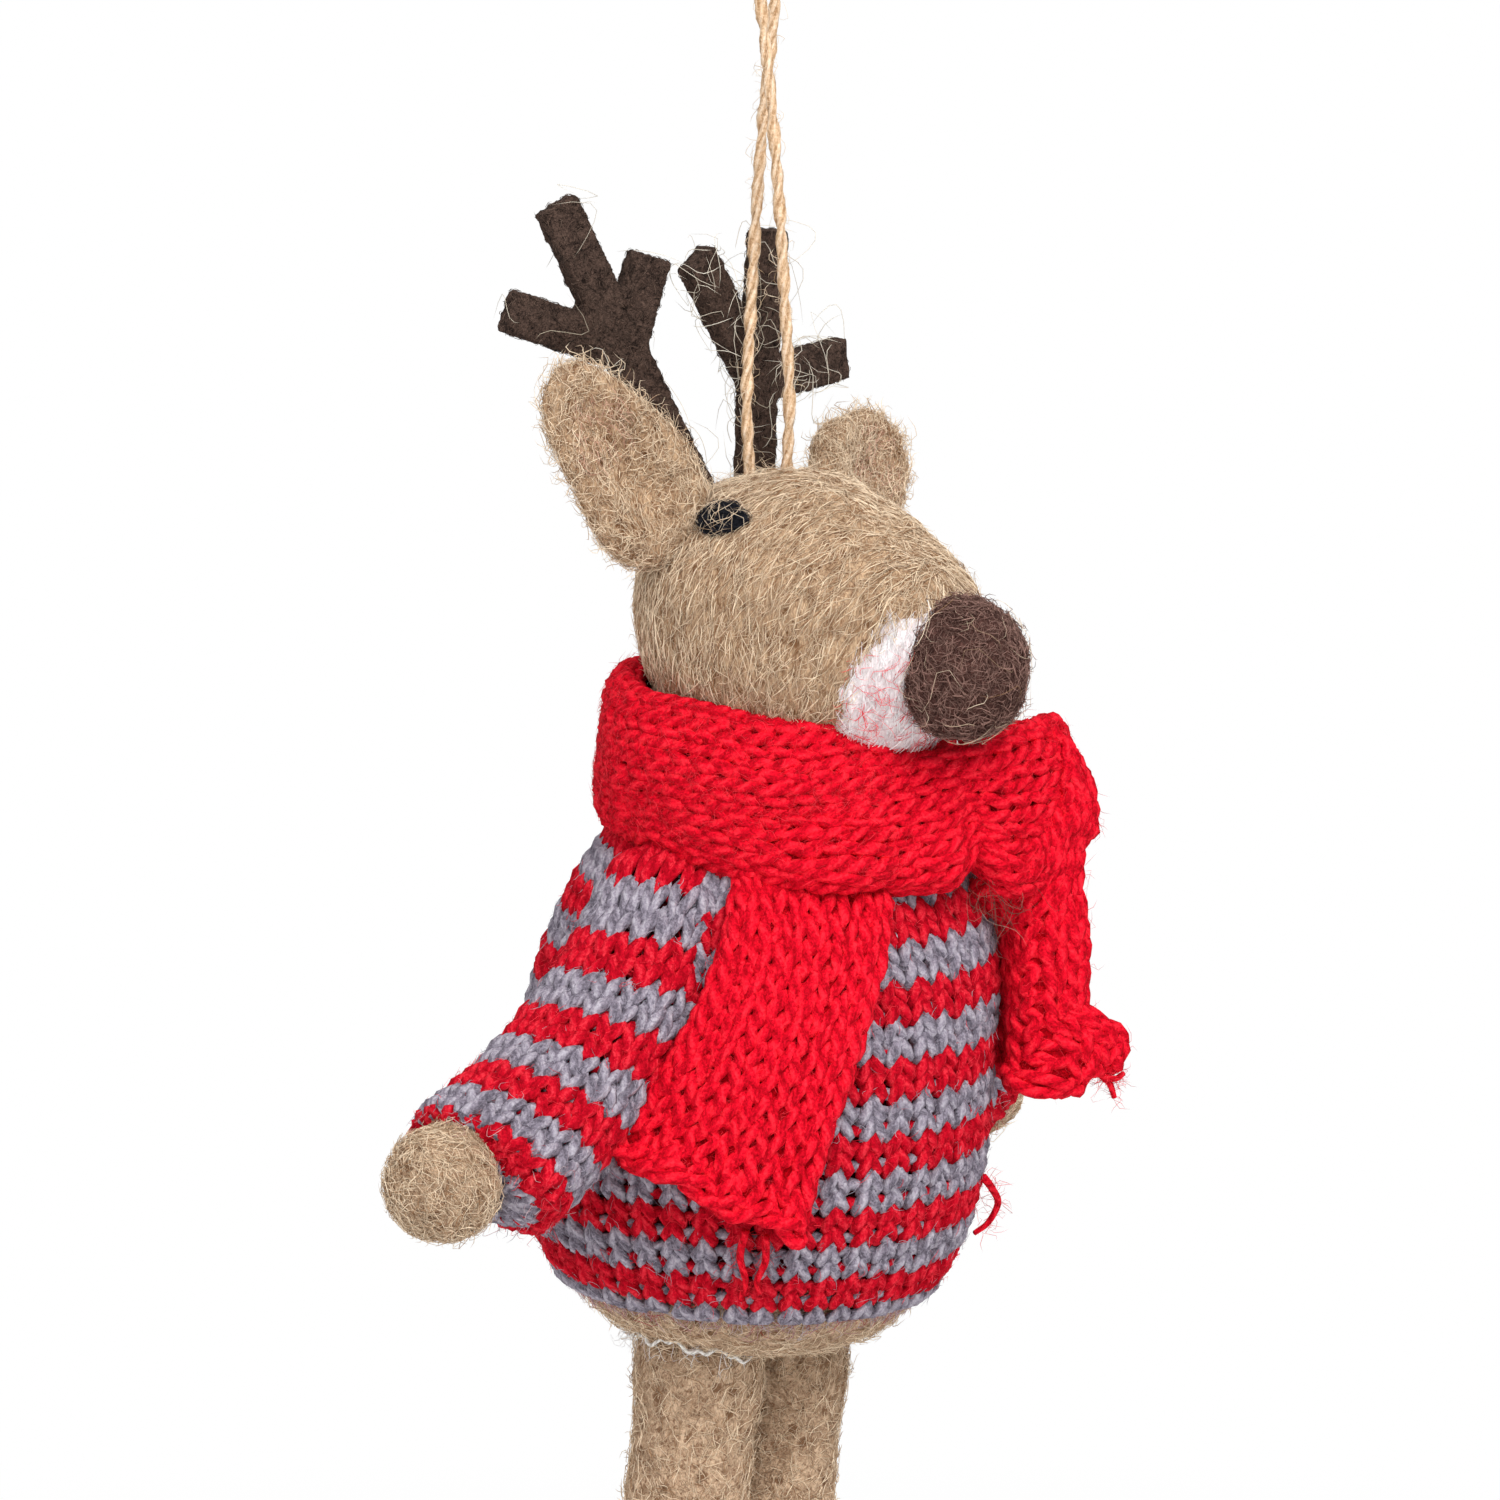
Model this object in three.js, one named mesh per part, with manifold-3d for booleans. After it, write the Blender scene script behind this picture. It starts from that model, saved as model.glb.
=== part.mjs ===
// Needle-felted reindeer ornament in a knitted jumper and scarf, hung on a loop of jute twine.
// Millimetres, +Z up. The origin is the inside top of the loop, where a hook or twig carries it.
// The reindeer faces -Y and its left hand is on +X. Inside the figure group z = 0 is the crown.

import * as THREE from 'three';
import { mergeVertices } from 'three/addons/utils/BufferGeometryUtils.js';
import Module from 'manifold-3d';

const wasm = await Module();
wasm.setup();

// Clearances
const seatGap = 0.3; // between pieces that rest on each other
const swingGap = 0.45; // round a piece that turns

// Hanging loop: the strands cross once on the way up and open again over the hook
const crownDrop = 58; // crown of the head below the hanging point
const twineDiameter = 1.3;
const twineRoute = [
  [1.19, -1.42, -59.7], [0.94, -2.1, -50.7], [0.07, -2.2, -40.3], [-0.8, -2.16, -30],
  [-1.78, -1.9, -19.5], [-2.55, -1.39, -11], [-2.89, -0.81, -5], [-2.95, -0.52, -2.35],
  [-2.09, -0.37, -0.23], [0, 0, 0.65], [2.09, 0.37, -0.23], [2.95, 0.52, -2.35],
  [2.89, 0.81, -5], [2.55, 1.39, -11], [1.78, 1.9, -19.5], [0.8, 2.16, -30],
  [-0.07, 2.2, -40.3], [-0.94, 2.1, -50.7], [-1.19, 1.42, -59.7],
];
const wellRadius = 3.3; // hollow in the crown that the strands go down
const knotDepth = 2; // top of the knot below the crown
const knotHeight = 3.2;

// Head, an egg measured from its middle
const headUp = 14;
const headDown = 19;
const headSide = 15;
const headFront = 21;
const headBack = 18;
const headForward = 4; // middle of the head ahead of the hanging line
const noseRadius = 6.8;
const noseLift = 2.4; // middle of the nose ahead of the muzzle
const noseAim = [0, -0.979, -0.206];
const eyeAim = [0.709, 0.078, 0.702];
const eyeLength = 5.8;
const eyeWidth = 3.8;
const eyeDepth = 2.4;
const patchThickness = 0.9;
const patchEdge = 31.2; // how far forward and down the white patch starts
const patchSlope = 33.7; // degrees between the patch's edge and the vertical

// Ears: felted leaves, each set by hand
const earWidth = 13.2;
const earThickness = 5;
const earRightRoot = [-12.2, 2.6, -6.4];
const earRightTip = [-26.4, 5.6, 13.4];
const earRightFace = [-0.45, -0.85, 0.25]; // way that the hollow of the ear looks
const earLeftRoot = [12.4, 0.4, -5.6];
const earLeftTip = [27.6, 5.8, 3];
const earLeftFace = [0.05, -0.97, 0.24];

// Antlers: cut from thick felt. Points are outward and up in the plane of the felt.
const antlerWidth = 4.5;
const antlerThickness = 2.5;
const antlerRightRoot = [-5, 5.6, -3];
const antlerRightSweep = 20; // degrees that its outer side is turned back
const antlerRightFork = [8.6, 16];
const antlerRightTips = [[16.6, 31.4], [5.6, 25.6], [22.3, 20.7]];
const antlerLeftRoot = [4.2, 5.4, -3];
const antlerLeftSweep = 0;
const antlerLeftFork = [0.4, 11.6];
const antlerLeftTips = [[2.2, 27.5], [-9.6, 25.2], [14.2, 13.1]];

// Body, an egg that leans back towards the feet
const bodySide = 22.4;
const bodyUp = 34;
const bodyDown = 27.5;
const bodyFullness = 2.3; // power of the lower half's outline, where 2 is an ellipse
const neckOverlap = 1; // top of the body above the bottom of the head
const bodyLean = 3.3; // degrees

// Knitted jumper
const jumperWall = 2.3;
const jumperNeck = 29; // neck edge above the middle of the body
const jumperHem = 19; // hem below the middle of the body
const shoulderRise = 21; // shoulder above the middle of the body
const shoulderInset = 4.5; // shoulder pivot below the surface of the jumper
const shoulderRadius = 7.4;
const shoulderCap = 25; // degrees that the sleeve's rounded top goes past the pivot
const sleeveWall = 1.9;
const sleeveLength = 35.3;
const cuffRadius = 9.1;
const armRightAim = [-0.761, 0.031, -0.648]; // outward, back and down
const armLeftAim = [0.66, 0.2, -0.724];
const armRightBow = 2.6; // how far the middle of the sleeve bows towards the body
const armLeftBow = 0.5;
const armReach = 40; // shoulder pivot to the middle of the paw
const wristRadius = 4.4;
const pawRadius = 5.7;
const pawShift = 2.6; // paw nearer to the outer side of the cuff
const armLift = 40; // degrees up from the side, where the arm rests

// Legs
const legTopRadius = 6.8;
const legGap = 0.6; // between the two legs
const hipDrop = 3; // hip pivot below the body
const legLength = 40; // hip pivot to the sole
const ankleRadius = 5.7;
const footRadius = 6.5;
const footRise = 10; // degrees above its middle where the round foot meets the leg
const threadDiameter = 0.5;
const threadTurn = 180; // degrees of the hip's crease that show thread

// Scarf
const wrapRadius = 16.2; // middle of the band
const wrapThickness = 5.2;
const wrapHeight = 16.2;
const wrapTilt = 7; // degrees, front down
const wrapRise = 2.1; // middle of the band above the bottom of the head
const wrapForward = 1.5;
const scarfWidth = 16;
const scarfThickness = 3;
const tailRightLength = 33;
const tailRightTurn = [35, 60]; // degrees round from the front, at its top and its end
const tailRightSlant = 5; // its cut end is lower on the inner side
const tailFlare = 0.12; // share that a cut end is wider than the strip
const tailLeftLength = 25;
const tailLeftMiddle = [16.5, -25.2]; // across and ahead
const tailLeftTurn = 42; // degrees that its end is turned to the right
const tailLeftFold = 57; // degrees that both sides of its fold are turned back at the end
const tailLeftRidge = 0.3; // fold off the middle, as a share of half the width
const tailLeftHang = 0.3; // fold ahead of the hinge, in the same share, so that the end hangs straight down
const ruffle = 1.1; // wave of the cut ends
const crossThickness = 5;
const crossRoute = [[-3, -21.9], [4, -24], [12, -25.4], [20, -25.2], [25.4, -24]];
const crossTops = [-30, -28.6, -26.6, -25.6, -26.8]; // top edge below the crown, at each point of the route
const crossBottoms = [-42.6, -40, -40, -40, -40];

// Facets
const eggColumns = 26;
const eggRows = 14;
const limbSides = 16;
const threadSides = 8;

const toRadians = THREE.MathUtils.degToRad;
const up = new THREE.Vector3(0, 0, 1);

function felt(color) {
  return new THREE.MeshStandardMaterial({ color, roughness: 0.95, metalness: 0 });
}

const tanFelt = felt(0xab9070);
const whiteFelt = felt(0xe8dcdc);
const brownFelt = felt(0x4a3a35);
const blackFelt = felt(0x1e2026);
const antlerFelt = felt(0x3a2e28);
const redKnit = felt(0xdd1420);
const stripedKnit = felt(0xa84a55);
const juteTwine = felt(0xcda878);
const whiteThread = felt(0xe6e2dc);

// Position-only copy of a closed geometry with shared vertices and faces that point out
function weld(geometry) {
  const bare = geometry.clone();
  bare.deleteAttribute('normal');
  bare.deleteAttribute('uv');
  const merged = mergeVertices(bare, 1e-4);
  const points = merged.attributes.position;
  const corners = [];
  const a = new THREE.Vector3();
  const b = new THREE.Vector3();
  const c = new THREE.Vector3();
  let volume = 0;
  for (let i = 0; i < merged.index.count; i += 3) {
    const triangle = [merged.index.getX(i), merged.index.getX(i + 1), merged.index.getX(i + 2)];
    if (new Set(triangle).size === 3) {
      corners.push(triangle);
      a.fromBufferAttribute(points, triangle[0]);
      b.fromBufferAttribute(points, triangle[1]);
      c.fromBufferAttribute(points, triangle[2]);
      volume += a.dot(b.cross(c));
    }
  }
  if (volume < 0) corners.forEach((triangle) => triangle.reverse());
  merged.setIndex(corners.flat());
  return merged;
}

function solid(geometry, matrix = new THREE.Matrix4()) {
  const closed = weld(geometry.clone().applyMatrix4(matrix));
  return new wasm.Manifold(new wasm.Mesh({
    numProp: 3,
    vertProperties: closed.attributes.position.array,
    triVerts: new Uint32Array(closed.index.array),
  }));
}

function mesh(name, body, material) {
  const cut = body.getMesh();
  const geometry = new THREE.BufferGeometry();
  geometry.setAttribute('position', new THREE.BufferAttribute(cut.vertProperties, 3));
  geometry.setIndex(new THREE.BufferAttribute(cut.triVerts, 1));
  geometry.computeVertexNormals();
  const piece = new THREE.Mesh(geometry, material);
  piece.name = name;
  return piece;
}

// Width of a round outline at a share of its height, where a power of 2 is an ellipse
function bulge(share, power) {
  return Math.max(0, 1 - Math.abs(share) ** power) ** (1 / power);
}

// Egg about the origin: each way out from the middle has its own reach, and the lower half its own fullness
function egg(reach, grow) {
  const geometry = new THREE.SphereGeometry(1, eggColumns, eggRows);
  geometry.rotateX(Math.PI / 2);
  const points = geometry.attributes.position;
  const point = new THREE.Vector3();
  for (let i = 0; i < points.count; i += 1) {
    point.fromBufferAttribute(points, i);
    const power = point.z < 0 ? 2 / reach.fullness : 1;
    const spread = Math.max(Math.hypot(point.x, point.y), 1e-9) ** (power - 1);
    const ahead = point.y < 0 ? reach.front : reach.back;
    const tall = point.z > 0 ? reach.up : reach.down;
    points.setX(i, point.x * spread * (reach.side + grow));
    points.setY(i, point.y * spread * (ahead + grow));
    points.setZ(i, Math.sign(point.z) * Math.abs(point.z) ** power * (tall + grow));
  }
  return geometry;
}

function ball(radius, columns = limbSides) {
  return new THREE.SphereGeometry(radius, columns, Math.round(columns * 0.6));
}

function moved(x, y, z) {
  return new THREE.Matrix4().makeTranslation(x, y, z);
}

// Turn and move a piece that is modelled along +Z so that it runs along aim from start,
// with its -Y side on face
function aimed(start, aim, face = [0, -1, 0]) {
  const along = new THREE.Vector3(...aim).normalize();
  const back = new THREE.Vector3(...face).negate();
  back.addScaledVector(along, -back.dot(along)).normalize();
  const across = new THREE.Vector3().crossVectors(back, along);
  const matrix = new THREE.Matrix4().makeBasis(across, back, along);
  return matrix.setPosition(new THREE.Vector3(...start));
}

// Closed skin over rings of points, each ring as long as the last, with a fan on both ends
function loft(rings) {
  const count = rings[0].length;
  const points = rings.flat();
  const ends = [rings[0], rings[rings.length - 1]].map((ring) => {
    const middle = new THREE.Vector3();
    ring.forEach((point) => middle.addScaledVector(point, 1 / count));
    return middle;
  });
  const first = points.length;
  const last = first + 1;
  const faces = [];
  for (let k = 0; k < count; k += 1) {
    const next = (k + 1) % count;
    for (let row = 0; row < rings.length - 1; row += 1) {
      const low = row * count;
      const high = low + count;
      faces.push(low + k, low + next, high + next, low + k, high + next, high + k);
    }
    const top = (rings.length - 1) * count;
    faces.push(first, next, k, last, top + k, top + next);
  }
  const geometry = new THREE.BufferGeometry().setFromPoints([...points, ...ends]);
  geometry.setIndex(faces);
  return geometry;
}

function roundSection(radius, sides) {
  const corners = [];
  for (let k = 0; k < sides; k += 1) {
    const turn = (2 * Math.PI * k) / sides;
    corners.push(new THREE.Vector2(radius * Math.cos(turn), radius * Math.sin(turn)));
  }
  return new THREE.Shape(corners);
}

function tube(points, diameter, steps) {
  const path = new THREE.CatmullRomCurve3(points.map((point) => new THREE.Vector3(...point)));
  const section = roundSection(diameter / 2, threadSides);
  return new THREE.ExtrudeGeometry(section, { steps, extrudePath: path });
}

// Lathed limb along +Z: the profile is a spline through [radius, height] stations with round ends
function lathe(profile) {
  const geometry = new THREE.LatheGeometry(profile.map(([r, z]) => new THREE.Vector2(r, z)), limbSides);
  return geometry.rotateX(Math.PI / 2);
}

function arc(radius, middle, from, to, steps) {
  const points = [];
  for (let k = 0; k <= steps; k += 1) {
    const turn = toRadians(from + ((to - from) * k) / steps);
    points.push([Math.max(radius * Math.cos(turn), 0), middle + radius * Math.sin(turn)]);
  }
  return points;
}

// Head
const headMiddle = new THREE.Vector3(0, -headForward, -headUp);
const headReach = {
  side: headSide, front: headFront, back: headBack, up: headUp, down: headDown, fullness: 2,
};
const headBottom = -headUp - headDown;

function headForm(grow) {
  return solid(egg(headReach, grow), moved(...headMiddle));
}

// Point above the skin of the head, out from its middle along aim
function onHead(aim, lift) {
  const way = new THREE.Vector3(...aim).normalize();
  const ahead = way.y < 0 ? headReach.front : headReach.back;
  const tall = way.z > 0 ? headReach.up : headReach.down;
  const share = Math.hypot(way.x / headReach.side, way.y / ahead, way.z / tall);
  return way.multiplyScalar(1 / share + lift).add(headMiddle);
}

function wellForm() {
  const depth = knotDepth + knotHeight + seatGap;
  const geometry = new THREE.CylinderGeometry(wellRadius, wellRadius, 2 * depth, limbSides);
  geometry.rotateX(Math.PI / 2);
  return solid(geometry);
}

function knotForm() {
  const radius = wellRadius - seatGap;
  const low = -knotDepth - knotHeight;
  const waist = radius * 0.72; // the knot is rounded off above and below
  const shoulder = knotHeight * 0.3;
  return solid(lathe([
    [0, low], [waist, low], [radius, low + shoulder], [radius, -knotDepth - shoulder],
    [waist, -knotDepth], [0, -knotDepth],
  ]));
}

const noseMiddle = onHead(noseAim, noseLift);

function noseForm(grow) {
  return solid(ball(noseRadius + grow, eggColumns - 8), moved(...noseMiddle));
}

function eyeForm(side) {
  const aim = [side * eyeAim[0], eyeAim[1], eyeAim[2]];
  const bead = ball(1, 14).scale(eyeWidth / 2, eyeLength / 2, eyeDepth / 2);
  return solid(bead, aimed(onHead(aim, 0), aim, [0, -1, 0])).subtract(headForm(seatGap));
}

// White wool on the part of the muzzle that is ahead of and below a sloping edge
function patchFront(grow) {
  const size = 4 * (headFront + headDown);
  const slope = toRadians(patchSlope);
  const front = new THREE.BoxGeometry(size, size, size);
  front.translate(0, grow - size / 2 - patchEdge * Math.cos(slope), 0);
  front.rotateX(slope);
  return headForm(seatGap + patchThickness + grow).intersect(solid(front));
}

function patchForm() {
  return patchFront(0).subtract(headForm(seatGap)).subtract(noseForm(seatGap));
}

// Leaf along +Z with a broad middle and a blunt tip, flattened front to back
function earForm(root, tip, face) {
  const aim = new THREE.Vector3(...tip).sub(new THREE.Vector3(...root));
  const length = aim.length();
  const half = earWidth / 2;
  const outline = new THREE.SplineCurve([
    [0, -0.12], [0.75, 0.06], [1, 0.32], [0.95, 0.6], [0.74, 0.84], [0.42, 0.96], [0, 1],
  ].map(([r, z]) => new THREE.Vector2(r * half, z * length)));
  const leaf = lathe(outline.getPoints(12).map((point) => [Math.max(point.x, 0), point.y]));
  leaf.scale(1, earThickness / earWidth, 1);
  return solid(leaf, aimed(root, aim.toArray(), face)).subtract(headForm(seatGap));
}

// Straight strip of felt between two points of the antler's plane
function tine(from, to) {
  const start = new THREE.Vector2(...from);
  const end = new THREE.Vector2(...to);
  const length = start.distanceTo(end);
  const strip = new THREE.BoxGeometry(length, antlerWidth, antlerThickness);
  strip.translate(length / 2, 0, 0);
  strip.rotateZ(end.sub(start).angle());
  strip.translate(start.x, start.y, 0);
  return solid(strip);
}

function antlerForm(root, sweep, fork, tips, side) {
  const joints = [tine([0, 0], fork), ...tips.map((tip) => tine(fork, tip))];
  const knuckle = new THREE.CylinderGeometry(antlerWidth / 2, antlerWidth / 2, antlerThickness, limbSides);
  knuckle.rotateX(Math.PI / 2).translate(...fork, 0);
  const flat = joints.reduce((sum, next) => sum.add(next), solid(knuckle));
  const turn = toRadians(sweep);
  const outward = new THREE.Vector3(side * Math.cos(turn), Math.sin(turn), 0);
  const through = new THREE.Vector3().crossVectors(outward, up);
  const stand = new THREE.Matrix4().makeBasis(outward, up, through);
  stand.setPosition(new THREE.Vector3(...root));
  return flat.transform(stand.toArray()).subtract(headForm(seatGap));
}

// Body
const bodyMiddle = headBottom + neckOverlap - bodyUp;
const bodyReach = {
  side: bodySide, front: bodySide, back: bodySide, up: bodyUp, down: bodyDown, fullness: bodyFullness,
};
const leaning = moved(0, 0, headBottom)
  .multiply(new THREE.Matrix4().makeRotationX(toRadians(bodyLean)))
  .multiply(moved(0, 0, -headBottom));
const jumperGrow = seatGap + jumperWall;

function bodyForm(grow) {
  return solid(egg(bodyReach, grow), leaning.clone().multiply(moved(0, 0, bodyMiddle)));
}

// Radius of the body, grown by grow, at a height of the upright figure
function bodyRadius(height, grow) {
  const above = height > bodyMiddle;
  const reach = (above ? bodyUp : bodyDown) + grow;
  return (bodySide + grow) * bulge((height - bodyMiddle) / reach, above ? 2 : bodyFullness);
}

const shoulderHeight = bodyMiddle + shoulderRise;
const shoulderOut = bodyRadius(shoulderHeight, jumperGrow) - shoulderInset;
const hipOut = legTopRadius + legGap / 2;
const hipHeight = bodyMiddle - bodyDown - hipDrop;

function shoulderPoint(side) {
  return new THREE.Vector3(side * shoulderOut, 0, shoulderHeight).applyMatrix4(leaning);
}

function hipPoint(side) {
  return new THREE.Vector3(side * hipOut, 0, hipHeight).applyMatrix4(leaning);
}

// Arms in their sleeves, modelled down +Z from the shoulder pivot, where a bow towards the body
// is on +X for the left arm and on -X for the right one
const arms = {
  right: { side: -1, aim: armRightAim, bow: armRightBow },
  left: { side: 1, aim: armLeftAim, bow: armLeftBow },
};

const sleeveStations = [1, 2, 3, 4, 5, 6].map((k) => (sleeveLength * k) / 6);

function sleeveRadius(along) {
  return shoulderRadius + (cuffRadius - shoulderRadius) * Math.max(0, along / sleeveLength) ** 1.5;
}

function sleeveBow({ side, bow }, along) {
  const share = THREE.MathUtils.clamp(along / sleeveLength, 0, 1);
  return side * bow * 4 * share * (1 - share);
}

function armBow(limb, along) {
  const share = THREE.MathUtils.clamp(along / sleeveLength, 0, 1);
  return sleeveBow(limb, along) - limb.side * pawShift * share ** 3;
}

// Lathed limb whose middle line is moved sideways along its length
function bowed(profile, shift) {
  const geometry = lathe(profile);
  const points = geometry.attributes.position;
  for (let i = 0; i < points.count; i += 1) points.setX(i, points.getX(i) + shift(points.getZ(i)));
  return geometry;
}

function sleeveForm(limb) {
  const outside = arc(shoulderRadius, 0, -shoulderCap, 0, 2);
  sleeveStations.forEach((along) => outside.push([sleeveRadius(along), along]));
  const inside = outside.map(([radius, along]) => [radius - sleeveWall, along]).reverse();
  return bowed([...outside, ...inside, outside[0]], (along) => sleeveBow(limb, along));
}

function armForm(limb) {
  const core = shoulderRadius - sleeveWall - seatGap;
  const elbow = sleeveLength * 0.55;
  const pawStart = 50; // degrees back from the middle of the paw where the wrist meets it
  const profile = [
    ...arc(core, 0, -90, 0, 4),
    [core, elbow / 2],
    [core * 0.95, elbow],
    [wristRadius, armReach - pawRadius * 1.25],
    ...arc(pawRadius, armReach, -pawStart, 90, 6),
  ];
  return bowed(profile, (along) => armBow(limb, along));
}

function armTurn({ side, aim }, degrees) {
  const lift = new THREE.Matrix4().makeRotationY(toRadians(-side * degrees));
  return lift.multiply(aimed([0, 0, 0], aim));
}

// Everything that the arm passes through between its two stops, with room round it
function armRoom(limb) {
  const place = moved(...shoulderPoint(limb.side));
  const clear = swingGap / 2; // the tubes start inside the ball, so that their skins don't coincide
  const outline = bowed([
    [0, 0], [shoulderRadius + clear, 0],
    ...sleeveStations.map((along) => [sleeveRadius(along) + swingGap, along]), [0, sleeveLength],
  ], (along) => sleeveBow(limb, along));
  const steps = 3;
  let room = solid(ball(shoulderRadius + swingGap), place);
  for (let k = 0; k <= steps; k += 1) {
    room = room.add(solid(outline, place.clone().multiply(armTurn(limb, (armLift * k) / steps))));
  }
  return room;
}

// Leg, modelled down -Z from the hip pivot
function legForm() {
  const foot = footRadius - legLength;
  return lathe([
    ...arc(footRadius, foot, -90, footRise, 5),
    [ankleRadius, foot * 0.62],
    [legTopRadius * 0.97, foot * 0.25],
    ...arc(legTopRadius, 0, 0, 90, 5),
  ]);
}

// Sewing thread in the crease between the body and the leg, on its outer side
function stitchForm(side) {
  const ring = legTopRadius + swingGap;
  const points = [];
  const steps = 8;
  for (let k = 0; k <= steps; k += 1) {
    const turn = toRadians(threadTurn * (k / steps - 0.5));
    const x = side * (hipOut + ring * Math.cos(turn));
    const y = -ring * Math.sin(turn);
    const depth = bodyDown * bulge(Math.hypot(x, y) / bodySide, bodyFullness);
    const crease = bodyMiddle - depth - seatGap - threadDiameter / 2;
    points.push(new THREE.Vector3(x, y, crease).applyMatrix4(leaning).toArray());
  }
  return solid(tube(points, threadDiameter, 2 * steps));
}

function jumperForm(rooms) {
  const size = 4 * bodySide;
  const height = jumperNeck + jumperHem;
  const between = new THREE.BoxGeometry(size, size, height);
  between.translate(0, 0, bodyMiddle + (jumperNeck - jumperHem) / 2);
  const trim = solid(between, leaning);
  const shell = bodyForm(jumperGrow).subtract(bodyForm(seatGap)).intersect(trim);
  return rooms.reduce((rest, room) => rest.subtract(room), shell);
}

function torsoForm(rooms) {
  const body = rooms.reduce((rest, room) => rest.subtract(room), bodyForm(0).subtract(headForm(seatGap)));
  const hip = ball(legTopRadius + swingGap, eggColumns);
  const sockets = [-1, 1].map((side) => solid(hip, moved(...hipPoint(side))));
  return sockets.reduce((rest, socket) => rest.subtract(socket), body);
}

// Scarf: a band round the neck, a crossing in front and two hanging ends
const wrapMiddle = headBottom + wrapRise;

function wrapBand(grow) {
  const half = wrapHeight / 2 + grow;
  const thick = wrapThickness / 2 + grow;
  const section = [];
  const sides = 12;
  for (let k = 0; k <= sides; k += 1) {
    const turn = (2 * Math.PI * k) / sides;
    const bulge = Math.sign(Math.cos(turn)) * Math.abs(Math.cos(turn)) ** 0.6;
    section.push([wrapRadius + thick * bulge, half * Math.sin(turn)]);
  }
  const points = section.map(([r, z]) => new THREE.Vector2(r, z));
  const band = new THREE.LatheGeometry(points, eggColumns).rotateX(Math.PI / 2);
  const tilt = new THREE.Matrix4().makeRotationX(toRadians(wrapTilt));
  return solid(band, moved(0, -wrapForward, wrapMiddle).multiply(tilt));
}

function wrapForm(rooms) {
  const jumper = bodyForm(jumperGrow + seatGap);
  const worn = [headForm(seatGap), patchFront(seatGap), bodyForm(seatGap), jumper, ...rooms];
  return worn.reduce((rest, next) => rest.subtract(next), wrapBand(0));
}

// Ring of a strip's section: a runs across from -1 to 1 and b is its front or back face
function stripRing(pointAt, thinning) {
  const ring = [];
  const across = 7;
  for (const b of [1, -1]) {
    for (let k = 0; k < across; k += 1) {
      const a = b * ((2 * k) / (across - 1) - 1);
      const edge = Math.sqrt(1 - 0.92 * Math.abs(a) ** 6);
      ring.push(pointAt(a, b * edge * thinning));
    }
  }
  return ring;
}

// Rows of a hanging end: rounded at its hinge, waved at its cut end
function tailRows(length, pointAt) {
  const round = scarfThickness / 2;
  const rows = [];
  [0.12, 0.5, 1].forEach((share) => {
    rows.push({ below: round * share, thin: Math.sqrt(1 - (1 - share) ** 2) });
  });
  const steps = 8;
  for (let k = 1; k <= steps; k += 1) rows.push({ below: round + ((length - round) * k) / steps, thin: 1 });
  return loft(rows.map(({ below, thin }) => {
    const share = below / length;
    const wave = ruffle * share ** 3;
    return stripRing((a, b) => pointAt(share, a, (b * scarfThickness) / 2, wave * Math.sin(5 * a)), thin);
  }));
}

function tailHalf(share) {
  return (scarfWidth / 2) * (1 + tailFlare * share ** 3);
}

// Near end: lies on the jumper and slants round it towards the right arm
const tailRightStart = (() => {
  const turn = toRadians(tailRightTurn[0]);
  const ahead = wrapRadius * Math.cos(turn);
  const edge = wrapMiddle - ahead * Math.tan(toRadians(wrapTilt)) - wrapHeight / 2;
  return edge - swingGap;
})();

function tailRightSkin(height, turn, lift) {
  const radius = bodyRadius(height, jumperGrow) + seatGap + lift;
  const point = new THREE.Vector3(-radius * Math.sin(turn), -radius * Math.cos(turn), height);
  return point.applyMatrix4(leaning);
}

function tailRightForm() {
  return solid(tailRows(tailRightLength, (share, a, b, wave) => {
    const height = tailRightStart - tailRightLength * share;
    const middle = THREE.MathUtils.lerp(...tailRightTurn, share);
    const radius = bodyRadius(height, jumperGrow);
    const turn = toRadians(middle) + (a * tailHalf(share)) / radius;
    const lift = scarfThickness / 2 + b + Math.abs(wave);
    return tailRightSkin(height + tailRightSlant * a * share ** 2, turn, lift);
  }));
}

// Crossing: stands off the band and runs to the far side, where the other end folds down
function crossForm() {
  const [upper, lower] = [crossTops, crossBottoms].map((levels) => new THREE.CatmullRomCurve3(
    crossRoute.map(([x, y], k) => new THREE.Vector3(x, y, levels[k])),
  ));
  const steps = 9;
  const rings = [];
  for (let k = 0; k <= steps; k += 1) {
    const share = k / steps;
    const top = upper.getPoint(share);
    const bottom = lower.getPoint(share);
    const along = upper.getTangent(share).setZ(0).normalize();
    const out = new THREE.Vector3(along.y, -along.x, 0);
    const round = Math.sqrt(1 - 0.9 * Math.abs(2 * share - 1) ** 8);
    rings.push(stripRing((a, b) => {
      const point = bottom.clone().lerp(top, (1 + a) / 2);
      return point.addScaledVector(out, (b * crossThickness) / 2);
    }, round));
  }
  const rests = [wrapBand(seatGap), noseForm(seatGap), headForm(seatGap), patchFront(seatGap)];
  return rests.reduce((rest, next) => rest.subtract(next), solid(loft(rings)));
}

// Far end: hangs flat from the crossing and folds along its middle further down
const tailLeftStart = Math.min(...crossBottoms.slice(1)) - swingGap;

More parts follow.
